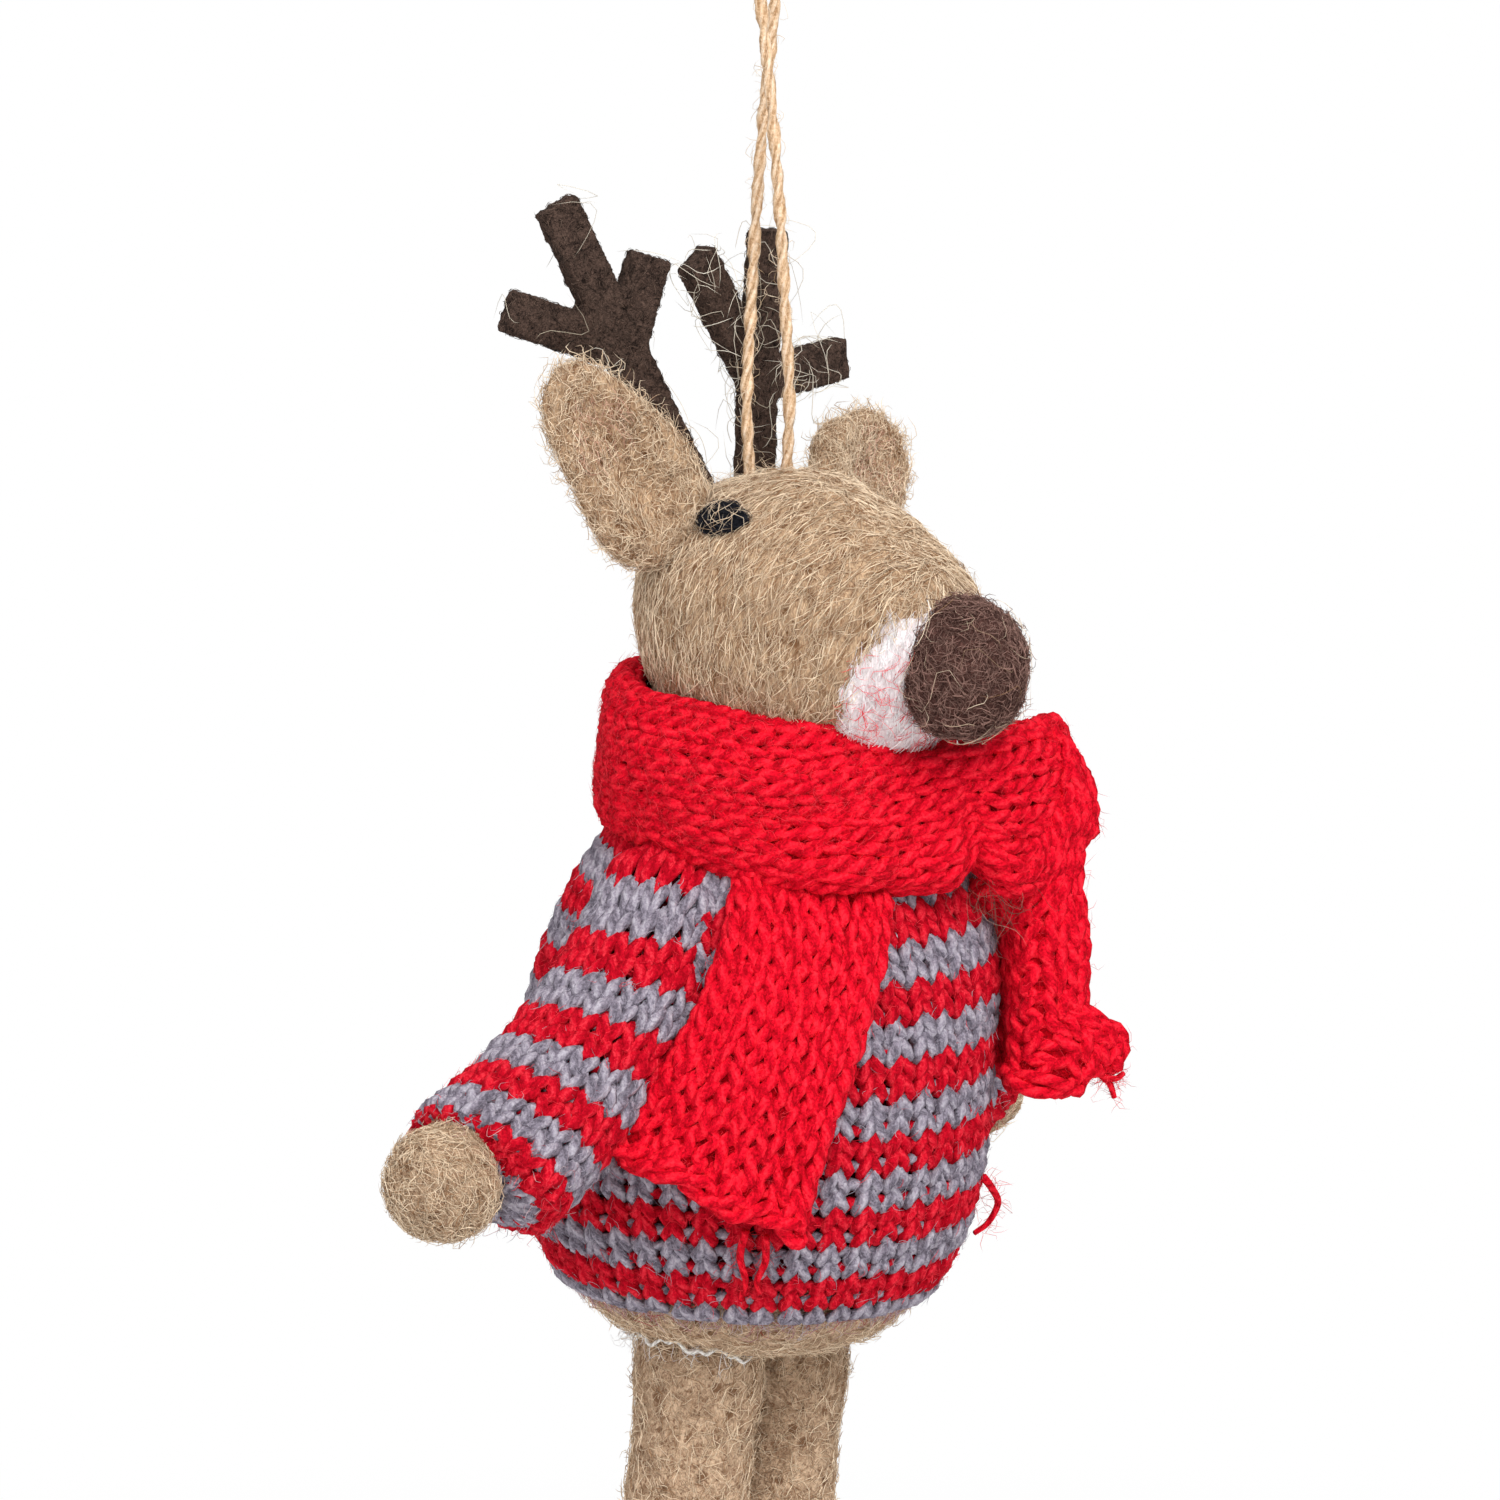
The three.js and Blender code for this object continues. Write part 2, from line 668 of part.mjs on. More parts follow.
function tailLeftForm() {
  return solid(tailRows(tailLeftLength, (share, a, b, wave) => {
    const turn = toRadians(-tailLeftTurn * share);
    const fold = toRadians(tailLeftFold * share ** 0.7);
    const across = new THREE.Vector3(Math.cos(turn), Math.sin(turn), 0);
    const back = new THREE.Vector3(-Math.sin(turn), Math.cos(turn), 0);
    const half = tailHalf(share);
    const off = a + tailLeftRidge;
    const soft = Math.hypot(off, 0.15) - 0.15; // the fold is round, not sharp
    const point = new THREE.Vector3(...tailLeftMiddle, tailLeftStart - tailLeftLength * share);
    point.x -= tailLeftRidge * half;
    const outward = off * half * Math.cos(fold) + b * Math.sin(fold) * Math.tanh(3 * off);
    const inward = (soft - tailLeftHang) * half * Math.sin(fold) - b * Math.cos(fold) + wave;
    return point.addScaledVector(across, outward).addScaledVector(back, inward);
  }));
}

function jointed(name, pivot, pieces) {
  const group = new THREE.Group();
  group.name = name;
  group.position.copy(pivot);
  pieces.forEach((piece) => group.add(piece));
  return group;
}

const ornament = new THREE.Group();
ornament.name = 'reindeer_ornament';
ornament.add(mesh('hanging_loop', solid(tube(twineRoute, twineDiameter, 56)), juteTwine));

const figure = new THREE.Group();
figure.name = 'figure';
figure.position.z = -crownDrop;
ornament.add(figure);

const rooms = Object.values(arms).map(armRoom);
figure.add(mesh('twine_knot', knotForm(), juteTwine));
figure.add(mesh('head', headForm(0).subtract(wellForm()), tanFelt));
figure.add(mesh('nose', noseForm(0).subtract(headForm(seatGap)), brownFelt));
figure.add(mesh('muzzle_patch', patchForm(), whiteFelt));
figure.add(mesh('ear_right', earForm(earRightRoot, earRightTip, earRightFace), tanFelt));
figure.add(mesh('ear_left', earForm(earLeftRoot, earLeftTip, earLeftFace), tanFelt));
const antlerRight = antlerForm(antlerRightRoot, antlerRightSweep, antlerRightFork, antlerRightTips, -1);
figure.add(mesh('antler_right', antlerRight, antlerFelt));
const antlerLeft = antlerForm(antlerLeftRoot, antlerLeftSweep, antlerLeftFork, antlerLeftTips, 1);
figure.add(mesh('antler_left', antlerLeft, antlerFelt));
figure.add(mesh('torso', torsoForm(rooms), tanFelt));
figure.add(mesh('jumper_body', jumperForm(rooms), stripedKnit));
figure.add(mesh('scarf_wrap', wrapForm(rooms), redKnit));
figure.add(mesh('scarf_cross', crossForm(), redKnit));
figure.add(mesh('scarf_tail_right', tailRightForm(), redKnit));
figure.add(mesh('scarf_tail_left', tailLeftForm(), redKnit));

for (const [name, limb] of Object.entries(arms)) {
  const { side } = limb;
  figure.add(mesh(`eye_${name}`, eyeForm(side), blackFelt));
  figure.add(mesh(`hip_stitch_${name}`, stitchForm(side), whiteThread));
  const sleeve = mesh(`sleeve_${name}`, solid(sleeveForm(limb), armTurn(limb, 0)), stripedKnit);
  const arm = mesh(`arm_${name}`, solid(armForm(limb), armTurn(limb, 0)), tanFelt);
  figure.add(jointed(`shoulder_${name}`, shoulderPoint(side), [sleeve, arm]));
  const leg = mesh(`leg_${name}`, solid(legForm()), tanFelt);
  figure.add(jointed(`hip_${name}`, hipPoint(side), [leg]));
}

export default ornament;
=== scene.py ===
import math
import bpy
import numpy as np
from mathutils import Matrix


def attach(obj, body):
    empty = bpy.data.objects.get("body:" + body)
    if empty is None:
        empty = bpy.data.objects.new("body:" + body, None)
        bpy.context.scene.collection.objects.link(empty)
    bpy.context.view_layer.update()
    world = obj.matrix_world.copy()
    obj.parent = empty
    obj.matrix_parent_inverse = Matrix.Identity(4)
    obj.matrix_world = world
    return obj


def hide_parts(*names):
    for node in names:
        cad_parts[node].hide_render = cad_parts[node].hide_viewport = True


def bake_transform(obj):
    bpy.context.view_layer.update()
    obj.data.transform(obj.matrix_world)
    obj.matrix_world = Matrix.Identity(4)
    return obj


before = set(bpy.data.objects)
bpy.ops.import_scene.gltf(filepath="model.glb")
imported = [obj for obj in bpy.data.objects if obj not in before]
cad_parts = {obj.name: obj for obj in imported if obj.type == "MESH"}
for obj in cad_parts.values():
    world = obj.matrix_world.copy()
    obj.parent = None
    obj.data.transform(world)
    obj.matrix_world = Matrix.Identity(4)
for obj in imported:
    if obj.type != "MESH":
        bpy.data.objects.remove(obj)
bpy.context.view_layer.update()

# Sizes are in millimetres until a mesh is made. Figure heights count from the crown of the head.
mm = 0.001
crown = np.array([0.0, 0.0, -58.0])
sideSign = dict(right=-1, left=1)
draw = np.random.default_rng(11)
bpy.ops.object.select_all(action="DESELECT")


def unit(v):
    return v / np.maximum(np.linalg.norm(v, axis=-1, keepdims=True), 1e-12)


def smooth(share):
    share = np.clip(share, 0, 1)
    return share * share * (3 - 2 * share)


# Distances along a line of points
def lengthAlong(line):
    return np.concatenate([[0], np.cumsum(np.linalg.norm(np.diff(line, axis=0), axis=1))])


# Points of a line at other distances along it
def pointsAt(line, far, places):
    return np.stack([np.interp(places, far, line[:, k]) for k in range(line.shape[1])], 1)


# A place or way given for the left side, on either side
def onSide(name, place):
    return np.array([sideSign[name], 1, 1]) * place


# sRGB hex to the linear values that shaders take
def linear(colour):
    parts = [int(colour[k:k + 2], 16) / 255 for k in (1, 3, 5)]
    return (*[c / 12.92 if c <= 0.04045 else ((c + 0.055) / 1.055) ** 2.4 for c in parts], 1)


# Adds a node with its settings and links, and gives back one of its outputs
def addNode(tree, kind, inputs=None, out=0, **settings):
    node = tree.nodes.new("ShaderNode" + kind)
    for name, value in settings.items():
        setattr(node, name, value)
    for socket, value in (inputs or {}).items():
        if isinstance(value, bpy.types.NodeSocket):
            tree.links.new(value, node.inputs[socket])
        else:
            node.inputs[socket].default_value = value
    return node.outputs[out]


# Camera at the photograph's angle: front right, a little above
camera = dict(azimuth=-50, elevation=8, distance=900, pixelsPerMm=9.6, crownPixel=(768, 470), image=1500)


def placeCamera():
    az, el = math.radians(camera["azimuth"]), math.radians(camera["elevation"])
    right = np.array([math.cos(az), math.sin(az), 0])
    back = np.array([math.sin(az) * math.cos(el), -math.cos(az) * math.cos(el), math.sin(el)])
    up = np.cross(back, right)
    middle = camera["image"] / 2
    across = (middle - camera["crownPixel"][0]) / camera["pixelsPerMm"]
    rise = (camera["crownPixel"][1] - middle) / camera["pixelsPerMm"]
    aim = crown + right * across + up * rise
    lens = bpy.data.cameras.new("photoLens")
    lens.sensor_width = 36
    lens.lens = 36 * camera["distance"] * camera["pixelsPerMm"] / camera["image"]
    lens.clip_start = 0.01
    lens.clip_end = 30
    eye = bpy.data.objects.new("photoCamera", lens)
    bpy.context.scene.collection.objects.link(eye)
    eye.location = (aim + back * camera["distance"]) * mm
    eye.rotation_euler = (math.pi / 2 - el, 0, az)
    bpy.context.scene.camera = eye


placeCamera()
print("camera placed")


def blankMaterial(name, rough, specular, sheen, tint):
    material = bpy.data.materials.new(name)
    material.use_nodes = True
    shader = material.node_tree.nodes["Principled BSDF"]
    for socket, value in (("Roughness", rough), ("Specular IOR Level", specular), ("Sheen Weight", sheen),
                          ("Sheen Roughness", 0.5), ("Sheen Tint", linear(tint))):
        shader.inputs[socket].default_value = value
    return material, material.node_tree


# Links a pattern's colour and bump to the material
def colourIn(material, colour, bump=None):
    links, inputs = material.node_tree.links, material.node_tree.nodes["Principled BSDF"].inputs
    links.new(colour, inputs["Base Color"])
    if bump:
        links.new(bump, inputs["Normal"])
    return material


# Spun yarn: matt plies that wind round each other, drawn along UV x, with specks of fuzz. The colour follows the
# height: painted shade in the grooves between the plies, painted highlight on the crests and the specks of fuzz
def spunYarn(name, dark, body, light, ridge):
    material, tree = blankMaterial(name, 0.9, 0.08, 0.12, body)
    uv = addNode(tree, "UVMap", uv_map="yarn")
    wound = addNode(tree, "SeparateXYZ", {"Vector": uv})
    turn = addNode(tree, "Math", {0: wound, 1: 2 * math.pi}, operation="MULTIPLY")
    plies = addNode(tree, "Math", {0: turn}, operation="SINE")
    stretched = addNode(tree, "Mapping", {"Vector": uv, "Scale": (6, 0.9, 1)})
    fibres = addNode(tree, "TexNoise", {"Vector": stretched, "Scale": 1.0, "Detail": 3.0})
    where = addNode(tree, "TexCoord", out="Object")
    specks = addNode(tree, "TexNoise", {"Vector": where, "Scale": 1 / (0.35 * mm), "Detail": 3.0, "Distortion": 0.8})
    groove = addNode(tree, "Math", {0: plies, 1: 0.22, 2: fibres}, operation="MULTIPLY_ADD")
    height = addNode(tree, "Math", {0: specks, 1: 1.2, 2: groove}, operation="MULTIPLY_ADD")
    # Painted shade: the low parts between the plies go towards the dark colour
    grooveShade = addNode(tree, "MapRange", {"Value": height, "From Min": 0.72, "From Max": 1.15})
    shaded = addNode(tree, "Mix", {0: grooveShade, 6: linear(dark), 7: linear(body)}, 2, data_type="RGBA")
    # Painted highlight: the highest crests and specks go towards the light colour
    crestHighlight = addNode(tree, "MapRange", {"Value": height, "From Min": 1.15, "From Max": 1.55})
    lit = addNode(tree, "Mix", {0: crestHighlight, 6: shaded, 7: linear(light)}, 2, data_type="RGBA")
    bump = addNode(tree, "Bump", {"Strength": 0.9, "Distance": ridge * mm, "Height": height})
    return colourIn(material, lit, bump)


# Needle-felted wool: a tangle of matt fibres with pits where the needle went in. The colour follows the height: partly
# fibre tone that differs from place to place, partly painted shade in the hollows and the needle pits
def feltedWool(name, dark, light, grain, stretch=(1, 1, 1), pits=0.0):
    material, tree = blankMaterial(name, 0.95, 0.08, 0.1, light)
    where = addNode(tree, "TexCoord", out="Object")
    pulled = addNode(tree, "Mapping", {"Vector": where, "Scale": stretch})
    tufts = addNode(tree, "TexNoise", {"Vector": pulled, "Scale": 1 / (4 * grain * mm), "Detail": 4.0,
                                       "Roughness": 0.65, "Distortion": 0.6})
    strands = addNode(tree, "TexNoise", {"Vector": pulled, "Scale": 1 / (grain * mm), "Detail": 2.0, "Distortion": 1.2})
    needle = addNode(tree, "TexVoronoi", {"Vector": where, "Scale": 1 / (2.6 * mm)})
    # The pits sink the bump and also carry painted shade into the colour
    pit = addNode(tree, "MapRange", {"Value": needle, "From Min": 0.04, "From Max": 0.26, "To Min": pits,
                                     "To Max": 0.0})
    mixed = addNode(tree, "Math", {0: tufts, 1: 0.9, 2: strands}, operation="MULTIPLY_ADD")
    height = addNode(tree, "Math", {0: mixed, 1: pit}, operation="SUBTRACT")
    tone = addNode(tree, "MapRange", {"Value": height, "From Min": 0.7, "From Max": 1.15})
    colour = addNode(tree, "Mix", {0: tone, 6: linear(dark), 7: linear(light)}, 2, data_type="RGBA")
    bump = addNode(tree, "Bump", {"Strength": 0.9, "Distance": 0.4 * mm, "Height": height})
    return colourIn(material, colour, bump)


# Single wool hairs, drawn three times too thick so that they show; each has its own tone
def looseWool(name, dark, light):
    material, tree = blankMaterial(name, 0.8, 0.12, 0.1, light)
    tone = addNode(tree, "Attribute", out="Fac", attribute_name="tone")
    colour = addNode(tree, "Mix", {0: tone, 6: linear(dark), 7: linear(light)}, 2, data_type="RGBA")
    return colourIn(material, colour)


juteYarn = spunYarn("twistedJuteTwine", "#AE8762", "#E4C29E", "#F7E3CC", 0.12)
redYarn = spunYarn("redWoolYarnSpun", "#940012", "#CA0A24", "#EA3442", 0.2)
greyYarn = spunYarn("greyWoolYarnSpun", "#5D5762", "#948C99", "#BEB8C2", 0.2)
scarfYarn = spunYarn("scarletWoolYarnSpun", "#9E0010", "#E00A26", "#FB2C3C", 0.14)
whiteThread = spunYarn("whiteSewingThread", "#B8B0A8", "#EAE6E0", "#F8F6F2", 0.05)
# Painted shade: the tan felt under the hairs is darker than the tan hairs that lie on it, standing for the shade
# between the hairs
tanFelt = feltedWool("tanWoolFelted", "#7A573C", "#D6B694", 0.3, (1, 1, 0.35), 0.4)
legFelt = feltedWool("tanWoolFeltedPitted", "#84634A", "#E0C1A2", 0.32, (1, 1, 0.8), 0.7)
noseFelt = feltedWool("brownWoolFelted", "#301B18", "#6C4C45", 0.3, (1, 1, 1), 0.4)
eyeFelt = feltedWool("blackWoolFelted", "#08090D", "#23252D", 0.3)
whiteFelt = feltedWool("whiteWoolFelted", "#E6D4D6", "#FFFAFA", 0.3, (1, 1, 0.4))
antlerFelt = feltedWool("brownFeltSheetPressed", "#1B1411", "#5E4B42", 0.25, (1, 1, 1), 0.15)
# Painted shade: the backs that show between the stitches are dark red, standing for the shade between the wales
knitBack = feltedWool("knitBackInShade", "#1E0508", "#5C0A14", 0.7)
scarfBack = feltedWool("scarfKnitInShade", "#7C000C", "#C00014", 0.5)
tanHair = looseWool("tanWoolHairs", "#9C7654", "#FFEACD")
pinkTanHair = looseWool("pinkTanWoolHairs", "#BC8A74", "#EDC4AE")
noseHair = looseWool("brownWoolHairs", "#3A2420", "#AE887C")
blackHair = looseWool("blackWoolHairs", "#0B0C10", "#34363F")
whiteHair = looseWool("whiteWoolHairs", "#F0E2E4", "#FFFFFF")
paleHair = looseWool("paleJuteHairs", "#B9AC97", "#EFE6D6")
antlerHair = looseWool("antlerFeltHairs", "#1C1512", "#6E5B50")
redHair = looseWool("redWoolHairs", "#B8061C", "#FF4250")
greyHair = looseWool("greyWoolHairs", "#78727E", "#BEB8C4")
mixedHair = looseWool("greyAndRedWoolHairs", "#B01A2C", "#D6CCD0")
juteHair = looseWool("juteHairs", "#C9A67E", "#F5E2C8")
print("materials ready")


def makePiece(name, points, faces, material, corners=None, tone=None):
    mesh = bpy.data.meshes.new(name)
    mesh.from_pydata((np.asarray(points) * mm).tolist(), [], faces)
    mesh.materials.append(material)
    mesh.shade_smooth()
    if corners is not None:
        layer = mesh.uv_layers.new(name="yarn")
        layer.data.foreach_set("uv", np.ascontiguousarray(corners, np.float32).ravel())
    if tone is not None:
        values = mesh.attributes.new("tone", "FLOAT", "POINT")
        values.data.foreach_set("value", np.ascontiguousarray(tone, np.float32))
    piece = bpy.data.objects.new(name, mesh)
    bpy.context.scene.collection.objects.link(piece)
    return piece


# Four-sided faces between rings of point numbers
def ringFaces(low, high):
    return np.stack([low, np.roll(low, -1, -1), np.roll(high, -1, -1), high], -1).reshape(-1, 4)


# Rings of points round many lines at once: paths and normals are (lines, points, 3)
def ringsRound(paths, ahead, normals, radius, sides):
    along = unit(ahead)
    side = unit(np.cross(along, normals))
    out = np.cross(side, along)
    turn = 2 * np.pi * np.arange(sides) / sides
    wheel = np.cos(turn)[:, None] * out[:, :, None] + np.sin(turn)[:, None] * side[:, :, None]
    return paths[:, :, None] + radius[:, :, None, None] * wheel


# Yarn: UV x winds round with the plies, UV y is the length in mm
def makeTubes(name, paths, normals, radius, sides, material, closed=False, pitch=3.0, plies=2):
    tubes, count = paths.shape[:2]
    radius = np.broadcast_to(radius, (tubes, count))
    ahead = np.roll(paths, -1, 1) - np.roll(paths, 1, 1)
    if not closed:
        ahead[:, 0] = paths[:, 1] - paths[:, 0]
        ahead[:, -1] = paths[:, -1] - paths[:, -2]
    points = ringsRound(paths, ahead, normals, radius, sides).reshape(-1, 3)
    index = np.arange(tubes * count * sides).reshape(tubes, count, sides)
    low = index if closed else index[:, :-1]
    high = np.roll(index, -1, 1) if closed else index[:, 1:]
    faces = ringFaces(low, high).tolist()
    hops = np.linalg.norm(np.roll(paths, -1, 1) - paths, axis=-1)
    length = np.concatenate([np.zeros((tubes, 1)), np.cumsum(hops, 1)], 1)
    rows = low.shape[1]
    start, end = length[:, :rows, None], length[:, 1:rows + 1, None]
    ring = np.arange(sides)
    corners = np.empty((tubes, rows, sides, 4, 2))
    for corner, (far, shift) in enumerate([(start, 0), (start, 1), (end, 1), (end, 0)]):
        corners[..., corner, 0] = far / pitch + plies * (ring + shift) / sides
        corners[..., corner, 1] = far
    corners = corners.reshape(-1, 2)
    if not closed:
        caps = [ends[::-1] for ends in index[:, 0].tolist()] + index[:, -1].tolist()
        faces += caps
        corners = np.concatenate([corners, np.zeros((len(caps) * sides, 2))])
    return makePiece(name, points, faces, material, corners)


# Three-sided hairs that run out to a point at both ends
def makeHairs(name, paths, normals, radius, material, tone):
    hairs = len(paths)
    rings = ringsRound(paths, np.gradient(paths, axis=1), normals, radius, 3)[:, 1:-1].reshape(hairs, -1, 3)
    points = np.concatenate([paths[:, :1], rings, paths[:, -1:]], 1)
    each = points.shape[1]
    ring = 1 + np.arange(each - 2).reshape(-1, 3)
    root = np.stack([0 * ring[0], np.roll(ring[0], -1), ring[0]], -1)
    tip = np.stack([ring[-1], np.roll(ring[-1], -1), 0 * ring[0] + each - 1], -1)
    first = each * np.arange(hairs)[:, None, None]
    faces = (ringFaces(ring[:-1], ring[1:]) + first).reshape(-1, 4).tolist()
    faces += (np.concatenate([root, tip]) + first).reshape(-1, 3).tolist()
    return makePiece(name, points.reshape(-1, 3), faces, material, tone=np.repeat(tone, each))


# Three values for each item of a mesh
def meshValues(items, field, kind=np.float64):
    values = np.empty(len(items) * 3, kind)
    items.foreach_get(field, values)
    return values.reshape(-1, 3)


# Ball that a felted piece is shaped from, with its points
def closedSphere(name, segments, rings):
    bpy.ops.object.select_all(action="DESELECT")
    bpy.ops.mesh.primitive_uv_sphere_add(segments=segments, ring_count=rings, radius=1, location=(0, 0, 0))
    piece = bpy.context.object
    piece.name = name
    # The operator numbers points and faces anew each run, so both are put in order of their places
    ball = meshValues(piece.data.vertices, "co").round(5)
    order = np.lexsort(ball.T)
    rank = np.argsort(order)
    faces = []
    for face in piece.data.polygons:
        corners = rank[list(face.vertices)].tolist()
        first = corners.index(min(corners))
        faces.append(corners[first:] + corners[:first])
    piece.data.clear_geometry()
    piece.data.from_pydata(ball[order].tolist(), [], sorted(faces))
    return piece, ball[order]


# Leaves a mesh with this one material
def setMaterial(piece, material):
    piece.data.materials.clear()
    piece.data.materials.append(material)


def shapeTo(piece, points, material):
    piece.data.vertices.foreach_set("co", (np.asarray(points) * mm).astype(np.float32).ravel())
    piece.data.update()
    setMaterial(piece, material)
    piece.data.shade_smooth()


def activate(piece):
    bpy.ops.object.select_all(action="DESELECT")
    piece.select_set(True)
    bpy.context.view_layer.objects.active = piece


# One edit-mode step on all of the active piece
def editAll(step, **settings):
    bpy.ops.object.mode_set(mode="EDIT")
    bpy.ops.mesh.select_all(action="SELECT")
    step(**settings)
    bpy.ops.object.mode_set(mode="OBJECT")


def applyModifier(piece, kind, **settings):
    modifier = piece.modifiers.new(kind.lower(), kind)
    for name, value in settings.items():
        setattr(modifier, name, value)
    bpy.ops.object.modifier_apply(modifier=modifier.name)


# Lumps of hand-felted wool: applied displacement, sizes in mm
def roughen(piece, lumps):
    activate(piece)
    for size, height in lumps:
        texture = bpy.data.textures.new(piece.name + "Lumps", "CLOUDS")
        texture.noise_scale = size * mm
        texture.noise_depth = 2
        applyModifier(piece, "DISPLACE", texture=texture, texture_coords="LOCAL", strength=height * mm, mid_level=0.5)


# Random roots on a piece, with the way out of it at each
def scatter(piece, count, keep=None):
    mesh = piece.data
    mesh.calc_loop_triangles()
    points, normals = meshValues(mesh.vertices, "co") / mm, meshValues(mesh.vertices, "normal")
    corners = meshValues(mesh.loop_triangles, "vertices", np.int32)
    a, b, c = (points[corners[:, k]] for k in range(3))
    area = np.linalg.norm(np.cross(b - a, c - a), axis=1)
    tries = count if keep is None else 5 * count  # keep throws most of them away
    chosen = draw.choice(len(corners), tries, p=area / area.sum())
    share = draw.random((tries, 2))
    share = np.where(share.sum(1, keepdims=True) > 1, 1 - share, share)
    weights = np.stack([1 - share.sum(1), share[:, 0], share[:, 1]], 1)[:, :, None]
    roots = (points[corners[chosen]] * weights).sum(1)
    ways = unit((normals[corners[chosen]] * weights).sum(1))
    if keep is not None:
        kept = np.flatnonzero(keep(roots, ways))[:count]
        roots, ways = roots[kept], ways[kept]
    return roots, ways


# Hairs on a surface. Laid hairs bow up in the middle, loose ones lift at their free end.
def layHairs(name, roots, normals, flow, look, material):
    count = len(roots)
    flow = np.broadcast_to(flow, roots.shape)
    way = unit(flow - normals * (flow * normals).sum(1, keepdims=True))
    cross = np.cross(normals, way)
    turn = draw.normal(0, look["spread"], (count, 1))
    way, cross = way * np.cos(turn) + cross * np.sin(turn), cross * np.cos(turn) - way * np.sin(turn)
    share = np.linspace(0, 1, look["steps"])[None, :]
    length = draw.uniform(*look["length"], (count, 1))
    lift = draw.uniform(*look["lift"], (count, 1))
    bow = draw.normal(0, look["bow"], (count, 1)) * length
    curl = draw.normal(0, look["curl"], (count, 1)) * length
    run = length * (share - (0.5 if look["laid"] else 0))
    rise = lift * (4 * share * (1 - share) if look["laid"] else share ** 1.4) - look.get("sink", 0.05)
    rise = rise - run ** 2 / (2 * look["bend"])
    sway = bow * 4 * share * (1 - share) + curl * np.sin(2 * np.pi * share)
    paths = (roots[:, None] + way[:, None] * run[..., None] + cross[:, None] * sway[..., None]
             + normals[:, None] * rise[..., None])
    radius = look["radius"] * draw.uniform(0.75, 1.25, (count, 1)) * (1 - 0.5 * np.abs(2 * share - 1) ** 3)
    facing = np.repeat(normals[:, None], share.shape[1], 1)
    tone = np.clip(draw.normal(look["tone"], look["toneSpread"], count), 0, 1)
    return makeHairs(name, paths, facing, radius, material, tone)


# Turns points that are modelled along +Z, with -Y on the facing side
def basis(aim, face=(0, -1, 0)):
    along = unit(np.array(aim, float))
    back = -np.array(face, float)
    back = unit(back - along * (back @ along))
    return np.stack([np.cross(back, along), back, along])


# Jute twine: two plies along one length of twine that goes into the crown at both ends
twine = dict(diameter=1.3, plyRadius=0.46, offset=0.21, lay=8.0, steps=620, hairs=420,
             hairLook=dict(length=(0.7, 2.6), spread=0.4, lift=(0.05, 0.55), bend=400))
twineRoute = np.array([
    [1.19, -1.42, -59.7], [0.94, -2.1, -50.7], [0.07, -2.2, -40.3], [-0.8, -2.16, -30],
    [-1.78, -1.9, -19.5], [-2.55, -1.39, -11], [-2.89, -0.81, -5], [-2.95, -0.52, -2.35],
    [-2.09, -0.37, -0.23], [0, 0, 0.65], [2.09, 0.37, -0.23], [2.95, 0.52, -2.35],
    [2.89, 0.81, -5], [2.55, 1.39, -11], [1.78, 1.9, -19.5], [0.8, 2.16, -30],
    [-0.07, 2.2, -40.3], [-0.94, 2.1, -50.7], [-1.19, 1.42, -59.7]])


# Smooth line through points, at shares from 0 to 1
def spline(points, shares):
    points = np.asarray(points, float)
    wide = np.concatenate([[2 * points[0] - points[1]], points, [2 * points[-1] - points[-2]]])
    place = np.clip(shares, 0, 1) * (len(points) - 1)
    k = np.minimum(place.astype(int), len(points) - 2)
    t = (place - k)[..., None]
    a, b, c, d = (wide[k + j] for j in range(4))
    return 0.5 * (2 * b + (c - a) * t + (2 * a - 5 * b + 4 * c - d) * t ** 2 + (3 * b - a - 3 * c + d) * t ** 3)


def twineRide(piece):
    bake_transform(piece)


def makeTwine():
    fine = spline(twineRoute, np.linspace(0, 1, 4000))
    length = lengthAlong(fine)
    far = np.linspace(0, length[-1], twine["steps"])
    line = pointsAt(fine, length, far)
    along = unit(np.gradient(line, axis=0))
    side = unit(np.cross(along, np.array([0.3, 1.0, 0.1])))
    out = np.cross(side, along)
    paths, facing = [], []
    for ply in range(2):
        turn = (2 * np.pi * far / twine["lay"] + np.pi * ply + 0.5 * np.sin(far * 0.23))[:, None]
        wind = np.cos(turn) * out + np.sin(turn) * side
        paths.append(line + twine["offset"] * wind)
        facing.append(wind)
    radius = twine["plyRadius"] * (1 + 0.12 * np.sin(far * 0.9) + 0.08 * np.sin(far * 2.7 + 1))
    cord = makeTubes("jute_twine_loop", np.array(paths), np.array(facing), radius, 8, juteYarn, pitch=7, plies=3)
    spots = draw.integers(10, twine["steps"] - 10, twine["hairs"])
    turn = draw.uniform(0, 2 * np.pi, (twine["hairs"], 1))
    way = np.cos(turn) * out[spots] + np.sin(turn) * side[spots]
    flow = along[spots] * draw.choice([-1, 1], (twine["hairs"], 1))
    fuzz = layHairs("jute_twine_hairs", line[spots] + way * 0.5, way, flow,
                    {**woolLooks["loose"], **twine["hairLook"]}, juteHair)
    dress([cord, fuzz], twineRide)
    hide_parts("hanging_loop")
    setMaterial(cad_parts["twine_knot"], juteYarn)
    print("twine made,", round(length[-1], 1), "mm long")


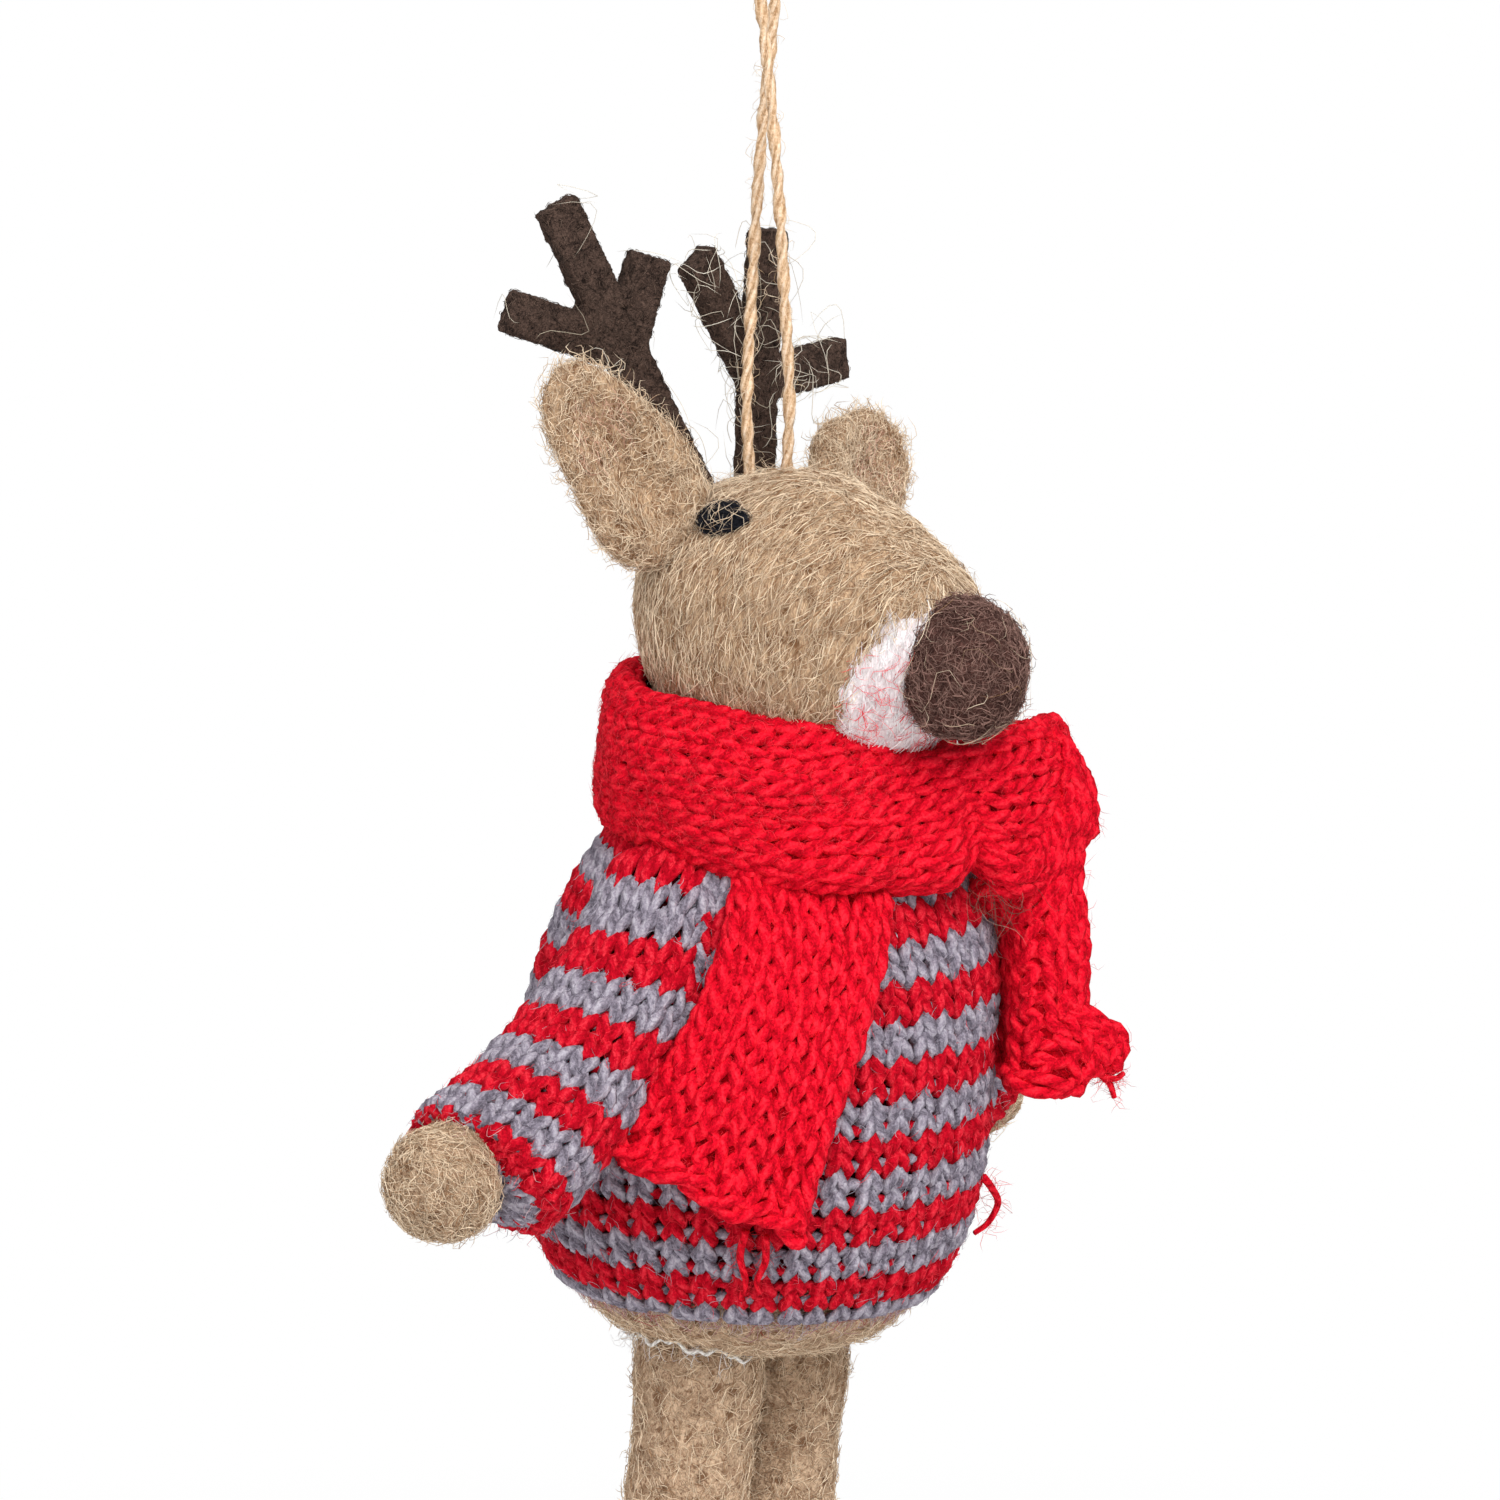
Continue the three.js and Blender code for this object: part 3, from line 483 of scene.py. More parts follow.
# Three kinds of wool on a felted surface: thick locks, single laid hairs and loose curls
woolLooks = dict(
    locks=dict(length=(2.5, 6), spread=0.3, lift=(0.05, 0.4), bow=0.08, curl=0.03, bend=18, radius=0.06, laid=True,
               steps=5, tone=0.56, toneSpread=0.4, sink=0.08),
    laid=dict(length=(1.5, 4.6), spread=0.45, lift=(0.05, 0.5), bow=0.1, curl=0.04, bend=18, radius=0.036, laid=True,
              steps=4, tone=0.56, toneSpread=0.4),
    loose=dict(length=(0.8, 3.2), spread=2.5, lift=(0.15, 1.1), bow=0.3, curl=0.2, bend=25, radius=0.027, laid=False,
               steps=6, tone=0.7, toneSpread=0.3))


# Every piece rides on a body, or as a function says
def dress(pieces, rider):
    for piece in pieces:
        if callable(rider):
            rider(piece)
        else:
            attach(piece, rider)


worn = {}  # each finished piece's body and slot


def finish(piece, body, slot, node=None, fill=None):
    worn[piece.name] = body, slot
    dress([piece], body)
    if node:
        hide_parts(node)


# A ball becomes a felted piece: its form, its lumps, then what finish takes
def feltTo(piece, points, material, lumps, *places):
    shapeTo(piece, points, material)
    roughen(piece, lumps)
    finish(piece, *places)


# Hairs of each kind in counts, which go with the piece that they grow on
def addWool(piece, label, material, counts, flow, keep=None, slot=None, **changes):
    body, ownSlot = worn[piece.name]
    for kind, count in counts.items():
        roots, ways = scatter(piece, count, keep)
        ahead = flow(roots, ways) if callable(flow) else np.array(flow, float)
        hairs = layHairs(label + "_" + kind, roots, ways, ahead, {**woolLooks[kind], **changes}, material)
        finish(hairs, body, slot or ownSlot)


makeTwine()

# Head: an egg with its own reach each way, flatter over the muzzle
head = dict(side=15, front=21, back=18, up=14, down=19, fullness=2, middle=(0, -4, -14), flatten=0.33,
            wool=dict(locks=3000, laid=8300, loose=2400), woolAbove=-86,
            tuft=dict(count=500, above=-63, middle=2, reach=7))


def egg(ball, reach, grow=0.0):
    x, y, z = ball.T
    power = np.where(z < 0, 2 / reach["fullness"], 1.0)
    spread = np.maximum(np.hypot(x, y), 1e-9) ** (power - 1)
    ahead = np.where(y < 0, reach["front"], reach["back"]) + grow
    tall = np.where(z > 0, reach["up"], reach["down"]) + grow
    return np.stack([x * spread * (reach["side"] + grow), y * spread * ahead,
                     np.sign(z) * np.abs(z) ** power * tall], 1)


def headForm(ball, grow=0.0):
    points = egg(ball, head, grow)
    points[:, 2] *= np.where(ball[:, 2] > 0, 1 - head["flatten"] * smooth(-ball[:, 1]), 1)
    return points + head["middle"]


def onHead(aim, lift):
    way = unit(np.array(aim, float))
    ahead = head["front"] if way[1] < 0 else head["back"]
    tall = head["up"] if way[2] > 0 else head["down"]
    share = math.sqrt((way[0] / head["side"]) ** 2 + (way[1] / ahead) ** 2 + (way[2] / tall) ** 2)
    return way * (1 / share + lift) + np.array(head["middle"])


# Wool runs up the cheeks, leans forward near the muzzle and lies along the top of it
def headFlow(roots, ways):
    forward = smooth((-roots[:, 1] - 6) / 14)
    return np.stack([0.12 * np.sin(roots[:, 1] * 0.5), -0.3 - 0.4 * forward, 1 + 0 * forward], 1)


def makeHead():
    piece, ball = closedSphere("felted_head", 144, 96)
    feltTo(piece, headForm(ball) + crown, tanFelt, [(5, 0.7), (1.3, 0.4)], "figure", "tan_felt", "head", 1.0)
    addWool(piece, "head_wool", tanHair, head["wool"], headFlow,
            lambda roots, ways: roots[:, 2] > head["woolAbove"])
    tuft = head["tuft"]
    addWool(piece, "crown_tuft", tanHair, dict(loose=tuft["count"]), (0.3, 0.1, 0.3),
            lambda roots, ways: (roots[:, 2] > tuft["above"]) & (np.abs(roots[:, 1] - tuft["middle"]) < tuft["reach"]),
            length=(2, 6), lift=(0.4, 2.4))


makeHead()
print("head made")

# White wool on the muzzle's front, thinned out to nothing at a sloping edge
patch = dict(edge=28.9, slope=0.52, top=-12.5, bottom=-32, thickness=0.9, sunk=1.2, rim=0.4, cut=2.5, fade=2.6,
             wool=dict(locks=260, laid=1300), fuzz=dict(count=430, top=-73, blur=8))


# How far a place on the head lies ahead of the patch's sloping edge
def aheadOfEdge(y, height):
    return -patch["edge"] - (y + patch["slope"] * height)


def makePatch():
    piece, ball = closedSphere("felted_muzzle_patch", 120, 90)
    base, raised, sunk = (headForm(ball, grow) for grow in (0, patch["thickness"], -patch["sunk"]))
    ahead = np.minimum(aheadOfEdge(base[:, 1], base[:, 2]), patch["top"] - base[:, 2])[:, None]
    # Behind the edge the skin drops into the head, where it closes out of sight
    skin = np.where(ahead > -patch["rim"], base + (raised - base) * smooth(ahead / patch["fade"]), sunk)
    shapeTo(piece, skin + crown, whiteFelt)
    roughen(piece, [(3, 0.4), (1, 0.25)])
    editAll(bpy.ops.mesh.bisect, plane_co=tuple((crown + [0, patch["cut"] - patch["edge"], 0]) * mm),
            plane_no=(0, 1, patch["slope"]), clear_outer=True, use_fill=True)
    piece.data.shade_smooth()
    finish(piece, "figure", "white_felt", "muzzle_patch")
    fuzz = patch["fuzz"]

    def shown(roots, ways):
        height = roots[:, 2] - crown[2]
        return (aheadOfEdge(roots[:, 1], height) > -patch["rim"]) & (height > patch["bottom"]) & (height < patch["top"])

    def low(roots, ways):
        return shown(roots, ways) & (roots[:, 2] < fuzz["top"] - fuzz["blur"] * draw.random(len(roots)))

    addWool(piece, "muzzle_wool", whiteHair, patch["wool"], (0, -0.3, 1.0), shown, tone=0.65)
    addWool(piece, "muzzle_red_fuzz", redHair, dict(loose=fuzz["count"]), (0, 0, 1.0), low, "red_knit",
            length=(1.5, 4.5))


makePatch()

# Nose: a hard-felted ball with hairs that cross each other
nose = dict(side=6.6, front=6.5, back=6.5, up=7.1, down=7.1, fullness=2.2, aim=(0, -0.979, -0.206), lift=1.7,
            wool=dict(locks=420, laid=2400, loose=900), strays=40)


def makeNose():
    piece, ball = closedSphere("felted_nose", 96, 64)
    feltTo(piece, egg(ball, nose) + onHead(nose["aim"], nose["lift"]) + crown, noseFelt, [(4, 0.7), (1.1, 0.5)],
           "figure", "brown_felt", "nose")
    addWool(piece, "nose_wool", noseHair, nose["wool"], (0, 0.2, 1.0),
            lambda roots, ways: ways[:, 1] < 0.5, spread=1.6, bend=7, bow=0.2, tone=0.46, toneSpread=0.34,
            length=(1, 3.4), radius=0.04)
    addWool(piece, "nose_strays", tanHair, dict(loose=nose["strays"]), (0.3, -0.3, -1.0),
            lambda roots, ways: ways[:, 1] < 0.3, "tan_felt", length=(3, 8), lift=(0.2, 0.9), laid=True, bend=12)


makeNose()

# Eyes: flat almonds of black wool, with tan hairs strayed over them
eye = dict(aim=(0.728, 0.07, 0.682), length=6.7, width=4, depth=2.4, wool=dict(laid=280), strays=34)


def makeEye(name):
    piece, ball = closedSphere("felted_eye_" + name, 48, 32)
    aim = onSide(name, eye["aim"])
    almond = ball * np.array([eye["width"], eye["length"], eye["depth"]]) / 2
    almond[:, 0] *= 1 - 0.45 * smooth(-ball[:, 1])
    feltTo(piece, almond @ basis(aim) + onHead(aim, 0.15) + crown, eyeFelt, [(1.6, 0.5)],
           "figure", "black_felt", "eye_" + name)

    def outside(roots, ways):
        return ways @ aim > 0.1

    addWool(piece, "eye_wool_" + name, blackHair, eye["wool"], (0, 1.0, 0), outside, bend=6,
            length=(1, 2.6))
    addWool(piece, "eye_strays_" + name, tanHair, dict(loose=eye["strays"]), (0, 1.0, 0), outside, "tan_felt",
            length=(2.5, 5), lift=(0.2, 0.6), laid=True, bend=10)


for name in sideSign:
    makeEye(name)
print("muzzle, nose and eyes made")


# Profile of a round piece: [radius, height] stations resampled evenly and rounded off
def profileOf(stations, softness=7, count=260):
    stations = np.array(stations, float)
    far = lengthAlong(stations)
    line = pointsAt(stations, far, np.linspace(0, far[-1], count))
    mirrored = np.concatenate([line[softness:0:-1] * [-1, 1], line, line[-2:-softness - 2:-1] * [-1, 1]])
    kernel = np.ones(2 * softness + 1) / (2 * softness + 1)
    return np.stack([np.convolve(mirrored[:, k], kernel, "valid") for k in range(2)], 1)


# Moves each ring of a sphere to its place on the profile, first ring lowest
def turned(ball, profile):
    place = (1 - np.arccos(np.clip(ball[:, 2], -1, 1)) / np.pi) * (len(profile) - 1)
    order = np.arange(len(profile))
    radius = np.where(np.abs(ball[:, 2]) > 0.999999, 0, np.maximum(np.interp(place, order, profile[:, 0]), 0))
    turn = np.arctan2(ball[:, 1], ball[:, 0])
    return np.stack([radius * np.cos(turn), radius * np.sin(turn), np.interp(place, order, profile[:, 1])], 1)


def arcOf(radius, middle, start, end, steps):
    turn = np.radians(np.linspace(start, end, steps + 1))
    return [[max(radius * math.cos(t), 0), middle + radius * math.sin(t)] for t in turn]


# Ears: felted leaves with blunt tips, hollowed on the side that faces forward
ears = dict(thickness=5, hollow=0.9, wool=dict(locks=400, laid=2600, loose=1800),
            pink=dict(count=200, at=0.62, reach=0.62),
            right=dict(root=(-12.2, 2.6, -6.4), tip=(-26.0, 5.6, 12.9), face=(-0.45, -0.85, 0.25), half=6.7, bend=-1.0),
            left=dict(root=(12.4, 0.4, -5.6), tip=(27.2, 5.8, 2.2), face=(0.05, -0.97, 0.24), half=7.2, bend=0.9))
earOutline = [[0, -0.12], [0.85, 0.05], [1.02, 0.28], [0.86, 0.58], [0.64, 0.83], [0.38, 0.95], [0, 1]]


def makeEar(name):
    ear = ears[name]
    aim = np.array(ear["tip"]) - np.array(ear["root"])
    length, half = np.linalg.norm(aim), ear["half"]
    piece, ball = closedSphere("felted_ear_" + name, 72, 56)
    leaf = turned(ball, profileOf(spline(earOutline, np.linspace(0, 1, 80)) * [half, length], 5))
    leaf[:, 1] *= ears["thickness"] / 2 / half
    high = leaf[:, 2] / length
    dip = 1.4 * ears["hollow"] * smooth(high * 3) * smooth((1 - high) * 4) * np.exp(-(leaf[:, 0] / half / 0.55) ** 2)
    leaf[:, 1] = np.where(leaf[:, 1] < 0, leaf[:, 1] * (1 - dip), leaf[:, 1])
    leaf[:, 0] += ear["bend"] * smooth((high - 0.2) / 0.8)
    ways = basis(aim, ear["face"])
    feltTo(piece, leaf @ ways + ear["root"] + crown, tanFelt, [(4, 0.7), (1.2, 0.4)],
           "figure", "tan_felt", "ear_" + name)
    addWool(piece, "ear_wool_" + name, tanHair, ears["wool"], unit(aim), spread=0.9, bend=12,
            length=(0.9, 3.2), radius=0.038)
    pink = ears["pink"]
    middle = ear["root"] + crown + aim * pink["at"] + ways[0] * ear["bend"] * 0.9

    def hollow(roots, facing):
        return (facing @ ways[1] < 0) & (np.linalg.norm(roots - middle, axis=1) < half * pink["reach"])

    addWool(piece, "ear_pink_wool_" + name, pinkTanHair, dict(laid=pink["count"]), unit(aim), hollow)


for name in sideSign:
    makeEar(name)
print("ears made")

# Antlers: die-cut from thick pressed felt, so the sides are cut square and a little frayed
antler = dict(voxel=0.42, wool=dict(laid=1500), strays=dict(right=26, left=150))


def makeAntler(name):
    piece = bpy.data.objects.new("cut_felt_antler_" + name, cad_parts["antler_" + name].data.copy())
    bpy.context.scene.collection.objects.link(piece)
    activate(piece)
    editAll(bpy.ops.mesh.remove_doubles, threshold=1e-6)
    applyModifier(piece, "REMESH", mode="VOXEL", voxel_size=antler["voxel"] * mm)
    applyModifier(piece, "SMOOTH", iterations=3)
    setMaterial(piece, antlerFelt)
    roughen(piece, [(2.2, 0.3), (0.8, 0.4)])
    piece.data.shade_smooth()
    finish(piece, "figure", "antler_felt", "antler_" + name)
    addWool(piece, "antler_wool_" + name, antlerHair, antler["wool"], (0.3, 0.2, 1.0),
            spread=2, bend=60, length=(0.5, 1.5), lift=(0.02, 0.25), radius=0.035, tone=0.4)
    addWool(piece, "antler_strays_" + name, paleHair, dict(loose=antler["strays"][name]),
            (0.4, 0.1, 1.0), bend=80, length=(3, 8), lift=(0.15, 1.2), laid=True, steps=8, radius=0.036)


for name in sideSign:
    makeAntler(name)
print("antlers made")

# Body: an egg that leans back towards the feet, of which the part below the jumper shows
body = dict(side=22.4, front=22.4, back=22.4, up=34, down=27.5, fullness=2.3, middle=-66.0, lean=3.3, pivot=-33.0,
            wool=dict(locks=200, laid=2400, loose=1300), woolBelow=-139)


def lean(points):
    turn = math.radians(body["lean"])
    x, y, z = np.moveaxis(points, -1, 0)
    z = z - body["pivot"]
    return np.stack([x, y * math.cos(turn) - z * math.sin(turn),
                     body["pivot"] + y * math.sin(turn) + z * math.cos(turn)], -1)


def bodyRadius(height, grow):
    offset = height - body["middle"]
    reach = np.where(offset > 0, body["up"], body["down"]) + grow
    power = np.where(offset > 0, 2.0, body["fullness"])
    return (body["side"] + grow) * np.maximum(1 - np.abs(offset / reach) ** power, 1e-6) ** (1 / power)


# Point and outward way on the body, grown by grow, at a height and a turn from the front to the right
def bodySkin(height, turn, grow):
    radius = bodyRadius(height, grow)
    slope = (bodyRadius(height + 0.05, grow) - bodyRadius(height - 0.05, grow)) / 0.1
    zero = np.zeros_like(radius)
    way = np.stack([-np.sin(turn), -np.cos(turn), zero], -1)
    point = way * radius[..., None] + np.stack([zero, zero, height + zero], -1)
    normal = unit(way - np.stack([zero, zero, slope], -1))
    return lean(point), lean(point + normal) - lean(point)


# Below the hem the felt is squarer, so that the legs grow out of it
torsoForm = {**body, "side": 21.2, "front": 21.2, "back": 21.2, "down": 26.6, "fullness": 3.4}


def makeTorso():
    piece, ball = closedSphere("felted_torso", 128, 96)
    feltTo(piece, lean(egg(ball, torsoForm) + [0, 0, body["middle"]]) + crown, legFelt, [(5, 0.8), (1.4, 0.4)],
           "figure", "tan_felt", "torso", 1.0)
    addWool(piece, "torso_wool", tanHair, body["wool"], (1.0, 0.4, 0.2),
            lambda roots, ways: roots[:, 2] < body["woolBelow"], spread=1.1, radius=0.04)


makeTorso()

# Legs: felted rolls with needle pits, hung from the hips
leg = dict(topRadius=6.8, topMiddle=2.6, length=40, ankle=5.7, ankleAt=0.68, foot=6.5, hip=(7.1, 3.655, -154.395),
           calf=((0.96, 0.42), (0.93, 0.2)), swayOver=14, sway=dict(right=(-0.9, 1.1), left=(-0.6, 0.7)),
           wool=dict(locks=300, laid=3400, loose=900))


def makeLeg(name):
    sole = leg["foot"] - leg["length"]
    stations = [*arcOf(leg["foot"], sole, -90, 10, 12), [leg["ankle"], sole * leg["ankleAt"]],
                *[[leg["topRadius"] * wide, sole * low] for wide, low in leg["calf"]],
                *arcOf(leg["topRadius"], leg["topMiddle"], 0, 90, 10)]
    piece, ball = closedSphere("felted_leg_" + name, 80, 110)
    roll = turned(ball, profileOf(stations, 12))
    roll[:, :2] += np.array(leg["sway"][name]) * smooth(-roll[:, 2:] / leg["swayOver"])
    feltTo(piece, roll + onSide(name, leg["hip"]), legFelt, [(5, 0.9), (1.5, 0.55)],
           name + "_leg", "tan_felt", "leg_" + name, 1.0)
    addWool(piece, "leg_wool_" + name, tanHair, leg["wool"], (0.3, 0.3, 1.0), spread=1.0,
            bend=7.5, bow=0.2, curl=0.1, radius=0.04)


# White thread that sews the leg on, half sunk in the wool of the crease
thread = dict(diameter=0.42, ring=7.25, turn=180, steps=120, wisps=80)


def makeThread(name):
    side = sideSign[name]
    turn = np.radians(thread["turn"] * (np.linspace(0, 1, thread["steps"]) - 0.5))
    x = side * (leg["hip"][0] + thread["ring"] * np.cos(turn))
    y = -thread["ring"] * np.sin(turn)
    power = torsoForm["fullness"]
    depth = torsoForm["down"] * np.maximum(1 - (np.hypot(x, y) / torsoForm["side"]) ** power, 0) ** (1 / power)
    sag = 0.35 * np.sin(turn * 9 + side) + 0.25 * np.sin(turn * 21)
    line = lean(np.stack([x + 0.2 * np.sin(turn * 13), y, body["middle"] - depth - 0.35 + sag], 1)) + crown
    out = unit(line - line.mean(0) + np.array([0, 0, -1.0]))
    strand = makeTubes("hip_thread_" + name, line[None], out[None], thread["diameter"] / 2, 6, whiteThread, pitch=0.8)
    finish(strand, "figure", "white_thread", "hip_stitch_" + name)
    spots = draw.integers(0, thread["steps"], thread["wisps"])
    wisps = layHairs("hip_thread_wisps_" + name, line[spots], out[spots], np.gradient(line, axis=0)[spots],
                     {**woolLooks["loose"], "spread": 0.8}, whiteHair)
    finish(wisps, "figure", "white_thread")


for name in sideSign:
    makeLeg(name)
    makeThread(name)
print("torso and legs made")

# Arms: felted rolls with a ball paw, inside the sleeves
arm = dict(core=5.2, wrist=5.1, paw=5.8, reach=40.5, pawShift=3.4, shoulder=(15.975, 0.691, -102.98), sleeve=35.3,
           topRadius=7.4, cuffRadius=9.1, wool=dict(locks=120, laid=2600, loose=700), woolFrom=32,
           forearm=((1, 9.7), (0.95, 19.4)), hand=7.1,
           right=dict(aim=(-0.761, 0.031, -0.648), bow=2.6),
           left=dict(aim=(0.66, 0.2, -0.724), bow=0.5))


def shoulderOf(name):
    return onSide(name, arm["shoulder"])


def sleeveBow(name, along):
    share = np.clip(along / arm["sleeve"], 0, 1)
    return sideSign[name] * arm[name]["bow"] * 4 * share * (1 - share)


def makeArm(name):
    stations = [*arcOf(arm["core"], 0, -90, 0, 8), *[[arm["core"] * wide, far] for wide, far in arm["forearm"]],
                [arm["wrist"], arm["reach"] - arm["hand"]], *arcOf(arm["paw"], arm["reach"], -50, 90, 14)]
    piece, ball = closedSphere("felted_arm_" + name, 72, 110)
    roll = turned(ball, profileOf(stations, 6))
    share = np.clip(roll[:, 2] / arm["sleeve"], 0, 1)
    roll[:, 0] += sleeveBow(name, roll[:, 2]) - sideSign[name] * arm["pawShift"] * share ** 5
    ways = basis(arm[name]["aim"])
    feltTo(piece, roll @ ways + shoulderOf(name), legFelt, [(4, 0.6), (1.3, 0.4)],
           name + "_arm", "tan_felt", "arm_" + name, 1.0)
    wrist = shoulderOf(name) + ways[2] * arm["woolFrom"]
    addWool(piece, "paw_wool_" + name, tanHair, arm["wool"],
            lambda roots, facing: np.cross(facing, ways[2] + 0.3 * ways[1]),
            lambda roots, facing: (roots - wrist) @ ways[2] > 0, spread=0.7, bend=6.2, bow=0.25, radius=0.036)


for name in sideSign:
    makeArm(name)
print("arms made")


# Short hairs that stand off the yarn
yarnFuzz = dict(length=(0.6, 2.6), spread=2.5, lift=(0.05, 0.7), bow=0.3, curl=0.15, bend=30, radius=0.026, laid=False,
                steps=5, tone=0.5, toneSpread=0.35)


# Uneven hand: slow waves along each course
def wobble(courses, flat, period, size):
    total = np.zeros((courses, len(flat)))
    for _ in range(4):
        turns = draw.integers(1, max(2, int(period * 0.6)), (courses, 1))
        total += np.sin(2 * np.pi * turns * flat / period + draw.uniform(0, 2 * np.pi, (courses, 1)))
    return total * size / 2


# Courses of stocking stitch on a surface that takes stitches across and rows along
def knit(name, surface, rows, wales, look, material, closed=True):
    steps = look["steps"]
    phase = 2 * np.pi * np.arange(wales * steps + (0 if closed else 1)) / steps
    flat = phase / (2 * np.pi)
    courses = len(rows)
    across = flat + look["slant"] * np.sin(2 * phase) + look["pinch"] * np.sin(phase)
    across = across + wobble(courses, flat, wales, look["uneven"])
    rise = look["way"] * np.cos(phase) * look["reach"] / 2
    rise = np.asarray(rows, float)[:, None] + rise + wobble(courses, flat, wales, look["uneven"])
    points, normals = surface(across, rise)
    depth = -look["depth"] * np.cos(2 * phase) + wobble(courses, flat, wales, 0.08)
    radius = look["yarn"] / 2 * (1 + wobble(courses, flat, wales, 0.09))
    return makeTubes(name, points + normals * depth[..., None], normals, radius, look["sides"], material, closed=closed,
                     pitch=look["twist"])


# Grid of points that goes round, as a skin; a thin wall is added inwards
def makeSkin(name, points, normals, material, wall):
    index = np.arange(points.shape[0] * points.shape[1]).reshape(points.shape[:2])
    quads = ringFaces(index[:-1], index[1:])
    flatPoints = points.reshape(-1, 3)
    middle = quads[len(quads) // 2]
    a, b, _, d = flatPoints[middle]
    if np.cross(b - a, d - a) @ normals.reshape(-1, 3)[middle[0]] < 0:
        quads = quads[:, ::-1]
    piece = makePiece(name, flatPoints, quads.tolist(), material)
    activate(piece)
    applyModifier(piece, "SOLIDIFY", thickness=wall * mm, offset=-1)
    return piece


# Fuzz on a striped piece, each colour on its own rows
def stripeFuzz(label, end, roots, ways, onGrey, flow):
    return [layHairs(label + colour + "_fuzz" + end, roots[rows], ways[rows], flow, yarnFuzz, material)
            for colour, rows, material in (("_red", ~onGrey, redHair), ("_grey", onGrey, greyHair))]


# A knitted piece: its back stands for the node, which is hidden, and the yarn goes with it
def dressKnit(back, yarns, rider, node):
    dress([back, *yarns], rider)
    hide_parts(node)


# Jumper: knitted in the round, stripes of two rows, the hem's edge row grey
jumper = dict(wales=44, row=1.93, hem=-85.0, neck=-37.0, lift=1.75, backLift=0.75, flatRadius=22.5, wall=0.4,
              fuzz=5200, fuzzLift=2.5, hemFuzz=1100, hemLift=1.6,
              hemLook=dict(spread=0.9, length=(1, 3.4), radius=0.034),
              chest=dict(lift=3.4, turn=-40, width=0.6, start=-66, over=24),
              loose=dict(pinch=0.045, yarn=0.14, row=7, over=9))
jumperStitch = dict(steps=12, sides=6, slant=0.25, pinch=0.06, uneven=0.08, way=1, reach=1.6, depth=0.42, yarn=1.42,
                    twist=3.2)
jumperHeights = np.linspace(jumper["hem"] - 4, jumper["neck"] + 4, 500)
jumperArc = lengthAlong(np.column_stack([jumperHeights, bodyRadius(jumperHeights, jumper["lift"])]))
jumperArc -= np.interp(jumper["hem"], jumperHeights, jumperArc)
jumperRows = int(np.interp(jumper["neck"], jumperHeights, jumperArc) / jumper["row"])


def jumperSkin(across, rise, grow=None):
    height = np.interp(rise * jumper["row"], jumperArc, jumperHeights)
    turn = 2 * np.pi * across / jumper["wales"]
    points, normals = bodySkin(height, turn, grow or jumper["lift"])
    # It stands off the chest in front of the left shoulder
    chest = jumper["chest"]
    off = (turn - math.radians(chest["turn"]) + np.pi) % (2 * np.pi) - np.pi
    fuller = chest["lift"] * np.exp(-(off / chest["width"]) ** 2) * smooth((height - chest["start"]) / chest["over"])
    return points + normals * fuller[..., None] + crown, normals


def greyRow(row):
    return ((row + 1) // 2) % 2 == 0


def makeJumper():
    wales = jumper["wales"]
    across, rise = np.meshgrid(np.linspace(0, wales, 132, endpoint=False), np.linspace(-0.6, jumperRows, 60))
    points, normals = jumperSkin(across, rise, jumper["backLift"])
    back = makeSkin("jumper_knit_back", points, normals, knitBack, jumper["wall"])
    rows = np.arange(jumperRows + 1)
    slack = jumper["loose"]

    # The lower rows are stretched, so gaps open between their wales
    def courses(name, some, material):
        loose = 1 - smooth((some - slack["row"]) / slack["over"])[:, None]
        look = {**jumperStitch, "pinch": jumperStitch["pinch"] + slack["pinch"] * loose,
                "yarn": jumperStitch["yarn"] - slack["yarn"] * loose}
        return knit(name, jumperSkin, some, wales, look, material)

    grey = courses("jumper_grey_courses", rows[greyRow(rows)], greyYarn)
    red = courses("jumper_red_courses", rows[~greyRow(rows)], redYarn)
    across, rise = draw.uniform(0, wales, jumper["fuzz"]), draw.uniform(-0.5, jumperRows - 3, jumper["fuzz"])
    fuzz = stripeFuzz("jumper", "", *jumperSkin(across, rise, jumper["fuzzLift"]), greyRow(np.round(rise)),
                      (1.0, 0.5, 0.5))
    across, rise = draw.uniform(0, wales, jumper["hemFuzz"]), draw.uniform(-0.9, 0.1, jumper["hemFuzz"])
    hem = layHairs("jumper_hem_fuzz", *jumperSkin(across, rise, jumper["hemLift"]), (0.2, 0.2, -1.0),
                   {**yarnFuzz, **jumper["hemLook"]}, mixedHair)
    dressKnit(back, [grey, red, *fuzz, hem], "figure", "jumper_body")
    print("jumper made,", jumperRows + 1, "rows")


makeJumper()

# Sleeves: rows lie level at the shoulder and square to the arm at the cuff
sleeve = dict(wales=18, inset=0.75, backInset=1.6, firstRow=-3.5, lastRow=15.5, spacing=(-0.5, 3.0, -0.028),
              tilt=(0.72, 0.12), tiltOver=(2, 34), fold=(34.8, 35.8), tuck=(0.7, 0.9), drape=1.3, wall=0.4, bend=(5, 9),
              flatRadius=6.8, flatLength=44, fuzz=2300, fuzzInset=0.1, curls=90,
              curlLook=dict(length=(1.5, 4), lift=(0.2, 1.2), bow=0.5, curl=0.3, steps=8))
sleeveStitch = dict(steps=12, sides=6, slant=0.26, pinch=0.045, uneven=0.08, way=1, reach=1.5, depth=0.42, yarn=1.46,
                    twist=3.2)


def sleeveRadius(along):
    radius = arm["topRadius"] + (arm["cuffRadius"] - arm["topRadius"]) * np.clip(along / arm["sleeve"], 0, 1) ** 1.5
    return radius * np.sqrt(np.clip(1 - (np.minimum(along, 0) / 9) ** 2, 0.15, 1))


